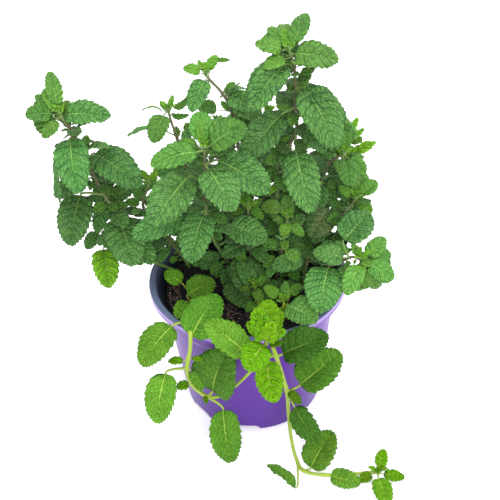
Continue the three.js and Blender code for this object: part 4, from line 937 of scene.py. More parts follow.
class Bush:
    """All the stems, and the search that gives each leaf the least bend that keeps it clear."""

    STALK = 3.5
    STALK_SHARE = 0.22
    FACE_VIEWER = 0.62
    FACE_UP = 0.5
    NONE_FREE = -2.0

    def __init__(self) -> None:
        """Makes the stems, so that leaves bend clear of all of them."""
        shoots = list(SHOOTS)
        self.back_length = {}
        for name, foot, top in BACK_STEMS:
            low = np.array((*foot, SOIL_TOP - ROOT_DEPTH), float)
            ground = np.array((*foot, SOIL_TOP), float)
            high = np.array(top, float)
            middle = (ground + high) / 2 + UP * BACK_BOW
            shoots.append(Shoot(name, [low, ground, middle, high], [], [], Growth.BACK))
            self.back_length[name] = float(np.linalg.norm(high - ground))
        self.stems = [Stem(shoot, StemLine(shoot.knots), index) for index, shoot in enumerate(shoots)]
        self.placed: list[Blade] = []
        self.centres = np.zeros((0, 3))
        self.reaches = np.zeros(0)
        self.pot_room = PotRoom()
        points, radii, owners = [], [], []
        for stem in self.stems:
            count = math.ceil(stem.line.length / Blade.SAMPLE_STEP)
            shares = np.arange(count + 1) / count
            points.append(stem.line.bar_centre(shares))
            radii.append(stem.line.radius(shares))
            owners.append(np.full(count + 1, stem.index))
        self.stem_points = np.vstack(points)
        self.stem_radii = np.concatenate(radii)
        self.stem_owners = np.concatenate(owners)

    def is_clear(self, blade: Blade, rooms: Rooms) -> bool:
        """Whether a leaf keeps its room from the pot, the other leaves and the other stems.

        Args:
            blade: The leaf.
            rooms: The room it keeps.

        Returns:
            Whether it is clear.
        """
        if self.pot_room.is_met(blade.points):
            return False
        gap = np.linalg.norm(self.centres - blade.centre, axis=1) - self.reaches - blade.reach
        for index in np.flatnonzero(gap <= 0):
            other = self.placed[index]
            own = other.shoot == blade.shoot
            room, free = (rooms.own, rooms.own_free) if own else (rooms.other, self.NONE_FREE)
            if other.is_met(blade.shares, blade.points, room, free):
                return False
            if blade.is_met(other.shares, other.points, room, free):
                return False
        others = self.stem_owners != blade.shoot
        away = np.linalg.norm(self.stem_points - blade.centre, axis=1)
        close = others & (away < blade.reach + self.stem_radii)
        if close.any():
            points = self.stem_points[close]
            room = self.stem_radii[close] + rooms.stem
            if blade.is_met(np.zeros(len(points)), points, room, self.NONE_FREE):
                return False
        middle = blade.points.mean(axis=0)
        span = np.linalg.norm(blade.points - middle, axis=1).max()
        limit = self.stem_radii + rooms.other
        close = others & (np.linalg.norm(self.stem_points - middle, axis=1) < span + limit)
        if not close.any():
            return True
        apart = np.linalg.norm(blade.points[:, None] - self.stem_points[None, close], axis=2)
        return not bool((apart < limit[close]).any())

    def place(
        self,
        stem: Stem,
        leaf: Leaf | FreeLeaf,
        ways: Sequence[Bend],
        rooms: Rooms = Rooms(),
        shrinks: Sequence[float] = SHRINKS,
        suits: Callable[[Blade], bool] = lambda blade: True,
    ) -> Optional[Blade]:
        """Places a leaf with the least bend that keeps it clear, or leaves it out.

        Args:
            stem: The stem that it grows on.
            leaf: The leaf.
            ways: The bends, least first.
            rooms: The room that it keeps.
            shrinks: The shares of its size to try.
            suits: A further test that it has to pass.

        Returns:
            The blade, or None.
        """
        share = stem.line.leaf_share(leaf.at, stem.shoot.crowd(leaf))
        build = self.seen_blade if isinstance(leaf, Leaf) else self.free_blade
        for shrink, way in product(shrinks, ways):
            blade = build(stem, leaf, share, way, shrink)
            if suits(blade) and self.is_clear(blade, rooms):
                self.placed.append(blade)
                self.centres = np.vstack((self.centres, blade.centre))
                self.reaches = np.append(self.reaches, blade.reach)
                stem.blades.append(blade)
                return blade
        return None

    def seen_blade(self, stem: Stem, leaf: Leaf, share: float, way: Bend, shrink: float) -> Blade:
        """A leaf seen in the photograph. Bending it only moves it towards or away from the viewer.

        Args:
            stem: Its stem.
            leaf: The leaf.
            share: The share of the stem where it grows.
            way: Its bend towards the viewer, its push along the line of sight, and its turn.
            shrink: The share of its size.

        Returns:
            The blade.
        """
        fore_bend, push, turn_bend = way
        node = stem.line.bar_centre(np.array([share]))[0]
        node_depth = float(VIEW.depth_of(node))
        slope = math.tan(math.radians(leaf.fore + fore_bend))
        seen = (leaf.across, leaf.down)

        def tip_point(start: np.ndarray, depth: float) -> np.ndarray:
            """The tip, nearer to the viewer than its start by the leaf's lean."""
            flat = VIEW.at_depth(seen, depth) - start
            return VIEW.at_depth(seen, depth - math.sqrt(flat @ flat) * slope)

        if leaf.neck_height:
            base = VIEW.level(*leaf.neck, leaf.neck_height)
        elif leaf.neck:
            base = VIEW.at_depth(leaf.neck, node_depth - push)
        else:
            towards = tip_point(node, node_depth) - node
            size = math.sqrt(towards @ towards)
            base = node + towards / size * min(self.STALK, size * self.STALK_SHARE)
            to_eye = VIEW.eye - base
            base = base + to_eye / math.sqrt(to_eye @ to_eye) * push
        tip = tip_point(base, float(VIEW.depth_of(base)))
        tip = base + (tip - base) * shrink
        to_eye = VIEW.eye - base
        facing = to_eye / math.sqrt(to_eye @ to_eye) * self.FACE_VIEWER + UP * self.FACE_UP
        turn = leaf.turn + turn_bend
        return Blade(stem.index, node, base, tip, facing, turn, leaf.wide, leaf.arch, share, leaf.tone)

    def free_blade(self, stem: Stem, leaf: FreeLeaf, share: float, way: Bend, shrink: float) -> Blade:
        """A leaf that is set by rule. Bending it turns it round its stem, or raises it.

        Args:
            stem: Its stem.
            leaf: The leaf.
            share: The share of the stem where it grows.
            way: The turn round the stem and the rise, in degrees.
            shrink: The share of its size.

        Returns:
            The blade.
        """
        node = stem.line.bar_centre(np.array([share]))[0]
        azimuth = math.radians(leaf.azimuth + way[0])
        lift = math.radians(leaf.rise + way[1])
        level = math.cos(lift)
        direction = np.array((math.cos(azimuth) * level, math.sin(azimuth) * level, math.sin(lift)))
        base = node + direction * leaf.stalk
        tip = base + direction * leaf.size * shrink
        return Blade(stem.index, node, base, tip, UP, 0.0, leaf.wide, leaf.arch, share, leaf.tone)

    def set_packed_leaves(self) -> None:
        """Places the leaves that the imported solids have, in the same order and by the same draw."""
        for stem in self.stems:
            for leaf in stem.shoot.leaves:
                self.place(stem, leaf, LEAF_BENDS)
        draw = Draw(SEED)
        for index, (name, _, _) in enumerate(BACK_STEMS):
            stem = next(stem for stem in self.stems if stem.shoot.name == name)
            length = self.back_length[name]
            for pair in range(math.floor((length - BACK_FIRST_PAIR) / BACK_PAIR_STEP) + 1):
                share = (BACK_FIRST_PAIR + pair * BACK_PAIR_STEP) / length
                for half in range(2):
                    leaf = FreeLeaf(
                        at=1 + 2 * min(1, share),
                        azimuth=index * 360 * GOLDEN_STEP
                        + (pair + 2 * half) * QUARTER_TURN
                        + BACK_AZIMUTH_SPREAD * (draw() * 2 - 1),
                        rise=BACK_RISE + BACK_RISE_SPREAD * (draw() * 2 - 1),
                        size=BACK_LEAF * (1 - BACK_LEAF_FALL * share + BACK_LEAF_SPREAD * (draw() * 2 - 1)),
                    )
                    self.place(stem, leaf, BACK_BENDS)


# The outline of the bush in the photograph, which extra leaves stay inside.
BUSH_OUTLINE = (
    (306, 13), (311, 24), (305, 36), (338, 50), (338, 63), (312, 72), (309, 80), (303, 84), (320, 84),
    (337, 94), (345, 106), (348, 120), (362, 134), (367, 146), (367, 176), (376, 183), (375, 193),
    (370, 206), (373, 216), (369, 240), (388, 240), (395, 270), (392, 286), (370, 290), (346, 297),
    (318, 300), (300, 296), (232, 300), (222, 284), (206, 272), (182, 264), (160, 262), (135, 267),
    (120, 252), (104, 246), (88, 248), (86, 238), (80, 228), (70, 246), (60, 240), (53, 190), (54, 142),
    (66, 136), (60, 120), (42, 138), (26, 120), (26, 106), (42, 94), (42, 82), (49, 70), (62, 100),
    (100, 104), (110, 116), (84, 128), (82, 140), (104, 142), (122, 152), (142, 180), (151, 176),
    (150, 160), (162, 147), (176, 142), (188, 128), (190, 114), (206, 114), (222, 118), (234, 116),
    (228, 100), (222, 90), (226, 82), (238, 80), (248, 88), (262, 62), (270, 56), (256, 44), (264, 30),
    (292, 22),
)


class SightMap:
    """What each line of sight meets: how near the photograph's leaves are, and whether any leaf is met."""

    REACH = 2
    BEHIND = 1.0

    def __init__(self, seen: Sequence[Blade]) -> None:
        """Marks the leaves that the photograph shows.

        Args:
            seen: The leaves.
        """
        size = int(VIEW.picture)
        self.depths = np.full((size, size), np.inf)
        self.covered = np.zeros((size, size), bool)
        self.corners = np.array(BUSH_OUTLINE, float)
        self.next_corners = np.roll(self.corners, -1, axis=0)
        for blade in seen:
            self.cover(blade)
            across, down, depth = VIEW.picture_of(blade.points)
            for cell in self.cells(across, down):
                np.minimum.at(self.depths, cell, depth)

    def cell(self, across: np.ndarray, down: np.ndarray, right: int = 0, lower: int = 0) -> tuple:
        """The cell of the map at each point, moved some cells to the right and down.

        Args:
            across: Pixels across.
            down: Pixels down.
            right: How many cells to move to the right.
            lower: How many cells to move down.

        Returns:
            Their rows and their columns, held within the map.
        """
        last = self.depths.shape[0] - 1
        ways = ((down, lower), (across, right))
        return tuple(np.clip(np.rint(way).astype(int) + step, 0, last) for way, step in ways)

    def cells(self, across: np.ndarray, down: np.ndarray) -> list[tuple]:
        """The cells of the map round each point, one set for each step aside."""
        steps = range(-self.REACH, self.REACH + 1)
        return [self.cell(across, down, *aside) for aside in product(steps, repeat=2)]

    def cover(self, blade: Blade) -> None:
        """Marks what a leaf covers.

        Args:
            blade: The leaf.
        """
        across, down, _ = VIEW.picture_of(blade.points)
        for cell in self.cells(across, down):
            self.covered[cell] = True

    def hidden_share(self, blade: Blade) -> float:
        """The share of a leaf's points that would stand in front of a leaf of the photograph.

        Args:
            blade: The leaf.

        Returns:
            The share.
        """
        across, down, depth = VIEW.picture_of(blade.points)
        there = self.depths[self.cell(across, down)]
        return float((np.isfinite(there) & (depth < there - self.BEHIND)).mean())

    def within(self, across: np.ndarray, down: np.ndarray) -> np.ndarray:
        """Whether points of the picture lie inside the bush's outline, by counting crossings of its sides.

        Args:
            across: Pixels across.
            down: Pixels down.

        Returns:
            Whether each does.
        """
        x, y = across[:, None], down[:, None]
        (x0, y0), (x1, y1) = self.corners.T, self.next_corners.T
        straddles = (y0 > y) != (y1 > y)
        steep = np.where(y1 == y0, 1.0, y1 - y0)
        crossed = straddles & (x < (x1 - x0) * (y - y0) / steep + x0)
        return crossed.sum(axis=1) % 2 == 1

    def holds(self, blade: Blade) -> bool:
        """Whether all of a leaf lies inside the bush's outline."""
        across, down, _ = VIEW.picture_of(blade.points)
        return bool(self.within(across, down).all())

    def gaps(self, step: float) -> np.ndarray:
        """The points of a square grid that lie inside the outline and that no leaf covers.

        Args:
            step: The grid's step, in pixels.

        Returns:
            Pixels across and down, a row for each point.
        """
        side = np.arange(0, VIEW.picture, step)
        across, down = (axis.ravel() for axis in np.meshgrid(side, side))
        open_there = ~self.covered[down.astype(int), across.astype(int)]
        keep = open_there & self.within(across, down)
        return np.column_stack((across[keep], down[keep]))


@dataclass(frozen=True)
class Fullness:
    """The leaves that fill the bush: the photograph's young ones, pairs up each stem, gaps and buds."""

    bush: Bush
    sights: SightMap
    seed: int = 81
    hidden: float = 0.3
    box_room: float = 1.0
    pair_step: float = 8.5
    pair_lowest: float = 10.0
    pair_highest: float = 0.95
    pair_bends: tuple[tuple[float, int], ...] = ((20, 3), (16, 2))
    pair_shrinks: tuple[float, ...] = (1.0, 0.8, 0.62, 0.46)
    pair_stalk: float = 2.6
    size: float = 21.0
    size_fall: float = 0.5
    size_spread: float = 0.2
    back_growth: float = 0.4
    rise: float = 16.0
    rise_spread: float = 18.0
    azimuth_spread: float = 22.0
    gap_step: float = 2.5
    gap_lowest: float = 4.0
    gap_nearest: float = 3.0
    gap_farthest: float = 40.0
    gap_tries: int = 7
    gap_rounds: int = 3
    gap_beyond: float = 1.4
    gap_wide: float = 0.64
    gap_fores: tuple[float, float] = (-8, 26)
    gap_turns: tuple[float, float] = (-24, 24)
    gap_bends: tuple[tuple[float, int], ...] = ((16, 2), (3.5, 2), (24, 1))
    gap_shrinks: tuple[float, ...] = (1.0, 0.8, 0.64, 0.5)
    bud_rises: tuple[float, ...] = (74.0, 60.0, 44.0)
    bud_sizes: tuple[float, ...] = (3.8, 5.4, 7.4)
    bud_step: float = 1.3
    bud_azimuth: float = 45.0
    bud_bends: tuple[tuple[float, int], ...] = ((18, 1), (12, 1))
    bud_shrinks: tuple[float, ...] = (1.0, 0.7)
    bud_rooms: Rooms = Rooms(other=0.4, own=0.0, own_free=1.0, stem=0.2)

    def suits(self, blade: Blade) -> bool:
        """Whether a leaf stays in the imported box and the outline, and behind what the photograph shows.

        Args:
            blade: The leaf.

        Returns:
            Whether it does.
        """
        low, high = (np.array(corner) / MM for corner in CAD_BOX)
        if (blade.points < low + self.box_room).any() or (blade.points > high - self.box_room).any():
            return False
        return self.sights.hidden_share(blade) < self.hidden and self.sights.holds(blade)

    def fill(self, stem: Stem, leaf: Leaf | FreeLeaf, ways: list[Bend], shrinks: Sequence[float]) -> bool:
        """Places a leaf where it suits, and marks what it covers.

        Args:
            stem: The stem that it grows on.
            leaf: The leaf.
            ways: Its bends, least first.
            shrinks: The shares of its size to try.

        Returns:
            Whether it found room.
        """
        blade = self.bush.place(stem, leaf, ways, CLOSE, shrinks, self.suits)
        if blade:
            self.sights.cover(blade)
        return blade is not None

    def add_young(self) -> int:
        """Places the young leaves that the photograph shows.

        Returns:
            How many found room.
        """
        rows = [(stem, leaf) for stem in self.bush.stems for leaf in stem.shoot.young]
        return sum(self.bush.place(stem, leaf, LEAF_BENDS, CLOSE) is not None for stem, leaf in rows)

    def add_pairs(self) -> int:
        """Places pairs of leaves up each stem of the bush, each pair a quarter turn from the one below.

        Returns:
            How many found room.
        """
        draw = np.random.default_rng(self.seed)
        ways = bends(*self.pair_bends)
        count = 0
        for stem in self.bush.stems:
            if stem.shoot.growth in (Growth.TRAILING, Growth.FRONT):
                continue
            for step in range(1, math.floor(stem.line.length / self.pair_step)):
                share = step * self.pair_step / stem.line.length
                here = stem.line.points(np.array([share]))[0]
                turn, lift, grow = draw.uniform(-1, 1, (3, 2))
                if here[2] < SOIL_TOP + self.pair_lowest or share > self.pair_highest:
                    continue
                for half in range(2):
                    azimuth = stem.index * 360 * GOLDEN_STEP + (step + 2 * half) * QUARTER_TURN
                    azimuth += self.azimuth_spread * turn[half]
                    size = self.size * (1 - self.size_fall * share) * (1 + self.size_spread * grow[half])
                    size *= 1 + self.back_growth * max(0.0, math.sin(math.radians(azimuth)))
                    rise = self.rise + self.rise_spread * lift[half]
                    leaf = FreeLeaf(share * stem.line.spans, azimuth, rise, size, stalk=self.pair_stalk)
                    count += self.fill(stem, leaf, ways, self.pair_shrinks)
        return count

    def stems_near(self, spot: np.ndarray, lines: list[tuple]) -> list[tuple]:
        """The stems that pass near a point of the picture.

        Args:
            spot: The point, in pixels.
            lines: Each stem, with the shares of its points and where they are seen.

        Returns:
            The distance, the stem, the share, and where that is seen, of the nearest few, the nearest first.
        """
        reached = []
        for stem, shares, seen in lines:
            away = np.hypot(*(seen - spot).T)
            away = np.where(away < self.gap_nearest, np.inf, away)
            nearest = int(away.argmin())
            if away[nearest] < self.gap_farthest:
                reached.append((float(away[nearest]), stem, shares[nearest], seen[nearest]))
        return sorted(reached, key=lambda found: found[0])[: self.gap_tries]

    def fill_gaps(self) -> int:
        """Reaches into what stays open within the outline with a leaf from a stem near it.

        Returns:
            How many found room.
        """
        draw = np.random.default_rng(self.seed + 1)
        ways = bends(*self.gap_bends)
        lines = []
        for stem in self.bush.stems:
            if stem.shoot.growth in (Growth.BUSH, Growth.BACK):
                shares = np.linspace(0.02, 0.98, 60)
                points = stem.line.points(shares)
                seen = np.column_stack(VIEW.picture_of(points)[:2])
                above = points[:, 2] > SOIL_TOP + self.gap_lowest
                lines.append((stem, shares[above], seen[above]))
        count = 0
        rounds = [draw.permutation(self.sights.gaps(self.gap_step)) for _ in range(self.gap_rounds)]
        for spot in np.vstack(rounds):
            if self.sights.covered[int(spot[1]), int(spot[0])]:
                continue
            fore, turn = draw.uniform(*self.gap_fores), draw.uniform(*self.gap_turns)
            for _, stem, share, start in self.stems_near(spot, lines):
                tip = start + (spot - start) * self.gap_beyond
                leaf = Leaf(share * stem.line.spans, *tip, self.gap_wide, fore, turn=turn)
                if self.fill(stem, leaf, ways, self.gap_shrinks):
                    count += 1
                    break
        return count

    def add_buds(self) -> int:
        """Places the small leaves that close each stem's tip.

        Returns:
            How many found room.
        """
        ways = bends(*self.bud_bends)
        buds = list(zip(range(len(self.bud_rises)), self.bud_rises, self.bud_sizes))
        count = 0
        for stem, (pair, rise, size), half in product(self.bush.stems, buds, range(2)):
            at = stem.line.spans * (1 - pair * self.bud_step / stem.line.length)
            azimuth = stem.index * 360 * GOLDEN_STEP + self.bud_azimuth + (pair + 2 * half) * QUARTER_TURN
            leaf = FreeLeaf(at, azimuth, rise, size, wide=0.5, arch=0.16, stalk=0.8, tone=Tone.YOUNG_WITH_PAINTED_LIGHT)
            count += self.bush.place(stem, leaf, ways, self.bud_rooms, self.bud_shrinks) is not None
        return count


@dataclass
class Skin:
    """A closed surface before it is a mesh: its points, its faces, and what its finish reads there."""

    points: np.ndarray
    quads: np.ndarray
    tris: np.ndarray
    looks: Looks
    flat_quads: np.ndarray
    finish: int = 0

    @staticmethod
    def ring_faces(rows: int, columns: int, inward: bool = False) -> np.ndarray:
        """The quads of rows of closed rings.

        Args:
            rows: How many rings.
            columns: Points in each.
            inward: Whether the rings run clockwise about the way that the rows go.

        Returns:
            Four point numbers for each quad.
        """
        row, column = np.meshgrid(np.arange(rows - 1), np.arange(columns), indexing="ij")
        a = row * columns + column
        b = row * columns + (column + 1) % columns
        ring = np.stack((a, b, b + columns, a + columns), axis=-1).reshape(-1, 4)
        return ring[:, ::-1] if inward else ring

    @classmethod
    def tube(cls, rings: np.ndarray, looks: Looks, finish: int, inward: bool = False) -> "Skin":
        """A tube of closed rings, with a pole at the middle of its first ring and of its last.

        Args:
            rings: Points, by row and column.
            looks: Values by row and column, for each look.
            finish: Which of the piece's materials it has.
            inward: Whether the rings run clockwise about the way that the rows go.

        Returns:
            The closed skin.
        """
        rows, columns = rings.shape[:2]
        count = rows * columns
        poles = rings[[0, -1]].mean(axis=1)
        points = np.vstack((rings.reshape(-1, 3), poles))
        made = {}
        for name, values in looks.items():
            ends = values[[0, -1]].mean(axis=1)
            made[name] = np.vstack((values.reshape(count, -1), ends.reshape(2, -1)))
        column = np.arange(columns)
        after = (column + 1) % columns
        last = count - columns
        start = np.stack((np.full(columns, count), after, column), axis=-1)
        end = np.stack((np.full(columns, count + 1), column + last, after + last), axis=-1)
        tris = np.vstack((start, end))
        quads = cls.ring_faces(rows, columns, inward)
        return cls(points, quads, tris[:, ::-1] if inward else tris, made, np.zeros(len(quads), bool), finish)


class Piece:
    """A finished piece of the object: one mesh in metres, with its place in the mesh."""

    def __init__(self, name: str, skins: Sequence[Skin], finishes: Sequence[bpy.types.Material]) -> None:
        """Joins the skins into one mesh object.

        Args:
            name: The piece's name.
            skins: Its surfaces, in millimetres.
            finishes: Its materials, which each skin picks from by number.
        """
        starts = np.cumsum([0, *(len(skin.points) for skin in skins)])[:-1]
        points = np.vstack([skin.points for skin in skins])
        quads = np.vstack([skin.quads + start for skin, start in zip(skins, starts)])
        tris = np.vstack([skin.tris + start for skin, start in zip(skins, starts)])
        low, high = (np.array(corner) / MM for corner in CAD_BOX)
        points = np.clip(points, low, high)
        mesh = bpy.data.meshes.new(name)
        mesh.vertices.add(len(points))
        mesh.vertices.foreach_set("co", (points * MM).astype(np.float32).ravel())
        mesh.loops.add(quads.size + tris.size)
        mesh.loops.foreach_set("vertex_index", np.concatenate((quads.ravel(), tris.ravel())).astype(np.int32))
        mesh.polygons.add(len(quads) + len(tris))
        begin = np.concatenate((np.arange(len(quads)) * 4, quads.size + np.arange(len(tris)) * 3))
        mesh.polygons.foreach_set("loop_start", begin.astype(np.int32))
        flat = np.concatenate([skin.flat_quads for skin in skins] + [np.zeros(len(tris), bool)])
        mesh.polygons.foreach_set("use_smooth", ~flat)
        finish = [np.full(len(skin.quads), skin.finish) for skin in skins]
        finish += [np.full(len(skin.tris), skin.finish) for skin in skins]
        mesh.polygons.foreach_set("material_index", np.concatenate(finish).astype(np.int32))
        mesh.update(calc_edges=True)
        for look in skins[0].looks:
            values = np.vstack([skin.looks[look] for skin in skins]).astype(np.float32)
            kind = "FLOAT_COLOR" if values.shape[1] == 4 else "FLOAT_VECTOR"
            layer = mesh.attributes.new(look, kind, "POINT")
            layer.data.foreach_set("color" if values.shape[1] == 4 else "vector", values.ravel())
        for material in finishes:
            mesh.materials.append(material)
        self.faces = len(quads) * 2 + len(tris)
        self.object = bpy.data.objects.new(name, mesh)
        bpy.context.scene.collection.objects.link(self.object)

    def take_place(self, slot: str, *nodes: str) -> None:
        """Puts the piece on the root body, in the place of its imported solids.

        Args:
            slot: The record's material slot for the piece. It is not used.
            nodes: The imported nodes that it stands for.
        """
        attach(self.object, "root")
        if nodes:
            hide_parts(*nodes)
        log.info("%s: %d triangles", self.object.name, self.faces)


@dataclass(frozen=True)
class LeafGrid:
    """How finely a leaf is cut: teeth of a length, rows of points to a tooth, and columns each side."""

    over: float
    tooth: float
    rows: tuple[float, ...]
    columns: int


# Leaves longer than this count as cover for the painted shade of the leaves under them.
CANOPY_LEAF = 16.0
CREST = 0.8
TEETH_PER_VEIN = 1.5
ROUND = 2.0
LEAF_GRIDS = (
    LeafGrid(24.0, 3.2, (0.0, 0.27, 0.54, CREST, 0.9), 7),
    LeafGrid(14.0, 2.5, (0.0, 0.4, CREST, 0.9), 5),
    LeafGrid(8.0, 1.9, (0.0, 0.45, CREST), 4),
    LeafGrid(0.0, 1.5, (0.0, 0.45, CREST), 3),
)


@dataclass(frozen=True)
class LeafForm:
    """The fine form of a leaf: its teeth, the domes between its veins, its wavy edge, and its stalk."""

    first: float = 0.03
    last: float = 0.975
    tooth_inset: float = 0.45
    least_teeth: int = 3
    rounding: float = 0.4
    lean: float = 0.85
    column_power: float = 1.2
    lean_power: float = 1.15
    tooth_depth: float = 0.31
    tooth_spread: float = 0.35
    tooth_narrow: float = 0.15
    tooth_most: int = 12
    hollow: float = 0.015
    hollow_power: float = 0.7
    cells_across: float = 2.2
    cell_depth: float = 0.25
    midrib: float = 0.09
    edge_flat: float = 0.6
    crumple: float = 2.4
    crumple_ages: tuple[float, float] = (0.9, 0.95)
    ruffle: float = 0.022
    ruffle_waves: float = 2.4
    ruffle_lag: float = 1.1
    sickle: float = 0.03
    fold: float = 0.3
    fold_level: float = 0.2
    blunt: float = 0.13
    blunt_from: float = 0.4
    thickness: float = 0.55
    edge_thin: float = 0.55
    whole_length: float = 20.0
    stalk_radius: float = 0.85
    neck_radius: float = 0.62
    stalk_sides: int = 6
    stalk_step: float = 3.0
    seeds: float = 90.0
    rib_shares: tuple[float, ...] = (0.05, 0.16, 0.32, 0.52, 0.74)
    rib_radii: tuple[float, ...] = (0.54, 0.44, 0.34, 0.22, 0.1)
    rib_below: float = 0.45
    large: float = 30.0

    def domes(self, vein: np.ndarray, far: np.ndarray, s: np.ndarray) -> np.ndarray:
        """The domes between the veins: a raised cosine along the leaf times one across it.

        Args:
            vein: The number of side veins passed, whole on a vein.
            far: The distance from the midrib for the half width.
            s: Shares of the leaf's length.

        Returns:
            The height of each point, from 0 in a crease or at the midrib to 1 on a dome.
        """
        along = 0.5 - 0.5 * np.cos(FULL_TURN * vein)
        across = 0.5 - 0.5 * np.cos(FULL_TURN * (far * self.cells_across + 0.5 * np.floor(vein)))
        dome = along**self.hollow_power * (1 - self.cell_depth + self.cell_depth * across)
        inner = 1 - np.exp(-((far / self.midrib) ** 2))
        return dome * inner * (1 - self.edge_flat * far**6) * np.sin(math.pi * s) ** self.rounding

    def thin(self, blade: Blade) -> float:
        """The share of its full thickness that a leaf has, less for a small one."""
        return min(1.0, 0.5 + blade.length / (2 * self.whole_length))

    def blade_skin(self, blade: Blade, age: float, shade: float, draw: np.random.Generator) -> Skin:
        """The blade itself: a grid whose rows lean with the side veins, closed round its thin edge.

        Args:
            blade: The placed leaf.
            age: 0 for an old leaf to 1 for a young one.
            shade: The painted shade, 0 for a leaf in the open to 1 for one under many, and below 0 for painted
                light.
            draw: The leaf's own draw.

        Returns:
            The closed skin. Each tooth rises to its crest and falls back along the edge. The face is lifted
            by the domes, by a wave round the edge, and by a fold up from the midrib.
        """
        grid = next(grid for grid in LEAF_GRIDS if blade.length > grid.over)
        teeth = int(np.clip(round(blade.length / grid.tooth), self.least_teeth, self.tooth_most))
        phase = np.concatenate([tooth + np.array(grid.rows) for tooth in range(teeth)] + [np.array([teeth])])
        step = np.arange(-grid.columns, grid.columns + 1) / grid.columns
        v = (np.sign(step) * np.abs(step) ** self.column_power)[None, :]
        far = np.abs(v)
        u = (self.first + (self.last - self.first) * phase / teeth)[:, None]
        s = u + self.lean * far**self.lean_power * u * (1 - u)
        half = blade.half_width(s) * ((1 - s) / (1 - self.blunt_from)) ** -self.blunt
        t = (phase % 1.0)[:, None]
        crest = np.minimum(t / CREST, (1 - t) / (1 - CREST))
        uneven = 1 + self.tooth_spread * draw.uniform(-1, 1, teeth + 1)[np.floor(phase).astype(int)][:, None]
        depth = self.tooth_depth * uneven * blade.length / teeth
        depth = depth * np.minimum(1, half / (self.tooth_narrow * blade.length))
        across = v * (half - self.tooth_inset * depth) + np.sign(v) * far**4 * depth * crest
        wave, curl, tone, offset, roof = draw.uniform(0, 1, 5)
        vein = phase[:, None] / TEETH_PER_VEIN
        edge = np.sin(FULL_TURN * (self.ruffle_waves * u + wave) + v * self.ruffle_lag) * far**3
        crumple = 1 + self.crumple * float(smooth(*self.crumple_ages, np.array(age)))
        lift = self.hollow * (1 + age) * crumple * blade.length * (self.domes(vein, far, s) - 0.5)
        lift = lift + self.ruffle * crumple**0.5 * blade.length * edge
        lift = lift + self.fold * (roof - self.fold_level) * half * far
        bow = self.sickle * blade.length * (2 * curl - 1) * np.sin(math.pi * s)
        upper = blade.at(s, across, lift) + blade.side * bow[..., None]
        thick = self.thickness * (1 - self.edge_thin * far**5) * self.thin(blade)
        lower = upper - blade.normal * np.broadcast_to(thick, s.shape)[..., None]
        rings = np.concatenate((upper, lower[:, ::-1]), axis=1)

        def both(values: np.ndarray) -> np.ndarray:
            """A value of the upper face, repeated on the lower one."""
            whole = np.broadcast_to(values, s.shape)
            return np.concatenate((whole, whole[:, ::-1]), axis=1)

        under = np.concatenate((np.zeros(s.shape), np.ones(s.shape)), axis=1)
        full = np.ones(under.shape)
        bronze = full * (blade.tone is Tone.BRONZE)
        seed = full * offset * self.seeds
        looks = {
            "leaf_place": np.stack((both(vein), both(v), both(s)), axis=-1),
            "leaf_mm": np.stack((both(s * blade.length), both(v * half), seed), axis=-1),
            # The fourth number of leaf_tone is the leaf's random tone less its painted shade.
            "leaf_tone": np.stack((full * age, bronze, under, full * (tone - shade)), axis=-1),
        }
        skin = Skin.tube(rings, looks, 0, inward=True)
        column = np.arange(len(skin.quads)) % rings.shape[1]
        skin.flat_quads = (column == s.shape[1] - 1) | (column == rings.shape[1] - 1)
        return skin

    def stalk_skin(self, blade: Blade, foot: np.ndarray, tone: np.ndarray) -> Skin:
        """The stalk and the rib under the blade: a round tube that thins towards the tip.

        Args:
            blade: The placed leaf.
            foot: Where the stalk starts, in the middle of its stem.
            tone: The bark's tone.

        Returns:
            The closed skin. The stalk is a cubic curve that meets the rib in line.
        """
        way = blade.base - foot
        size = float(np.linalg.norm(way))
        part = np.linspace(0, 1, 4 + int(size / self.stalk_step))[:, None]
        knots = (foot, foot + way * 0.36, blade.base - (blade.along + way / size) * (0.15 * size), blade.base)
        stalk = (1 - part) ** 3 * knots[0] + 3 * part * (1 - part) ** 2 * knots[1]
        stalk = stalk + 3 * part**2 * (1 - part) * knots[2] + part**3 * knots[3]
        shares = np.array(self.rib_shares)
        scale = float(np.clip(blade.length / self.large, 0.42, 1.1))
        under = -self.thickness * self.thin(blade) - scale * self.rib_below * np.array(self.rib_radii)
        rib = blade.at(shares, np.zeros(len(shares)), under)
        narrowing = np.linspace(self.stalk_radius, self.neck_radius, len(part))
        radii = scale * np.concatenate((narrowing, self.rib_radii))
        return pipe(np.vstack((stalk, rib)), radii, self.stalk_sides, tone, ROUND)


def pipe(path: np.ndarray, radii: np.ndarray, sides: int, tone: np.ndarray, power: float) -> Skin:
    """A closed tube along a path, round or with rounded corners.

    Args:
        path: The points it follows.
        radii: Its radius at each.
        sides: Points round it.
        tone: The bark's tone, one row for the whole tube or one for each point of the path.
        power: 2 for a round section. Nearer 1 the section is squarer.

    Returns:
        The closed skin. The section is the curve where the powers of its two coordinates add up to one.
    """
    along = unit(np.gradient(path, axis=0))
    normal = np.array((0.8, 0.6, 0.0))
    normals = []
    for direction in along:
        normal = normal - direction * float(normal @ direction)
        normal = normal / math.sqrt(normal @ normal)
        normals.append(normal)
    first = np.array(normals)
    second = np.cross(along, first)
    angle = np.arange(sides) * FULL_TURN / sides
    section = (np.abs(np.cos(angle)) ** power + np.abs(np.sin(angle)) ** power) ** (-1 / power)
    x, y = section * np.cos(angle), section * np.sin(angle)
    ring = first[:, None] * x[None, :, None] + second[:, None] * y[None, :, None]
    rings = path[:, None] + ring * radii[:, None, None]
    travelled = np.concatenate(([0.0], np.cumsum(np.linalg.norm(np.diff(path, axis=0), axis=1))))
    shape = rings.shape[:2]
    full = np.ones(shape)
    looks = {
        "leaf_place": np.stack((full * travelled[:, None], full * angle, full), axis=-1),
        "leaf_mm": rings.copy(),
        "leaf_tone": np.broadcast_to(np.atleast_2d(tone)[:, None], (*shape, 4)).copy(),
    }
    return Skin.tube(rings, looks, 1)


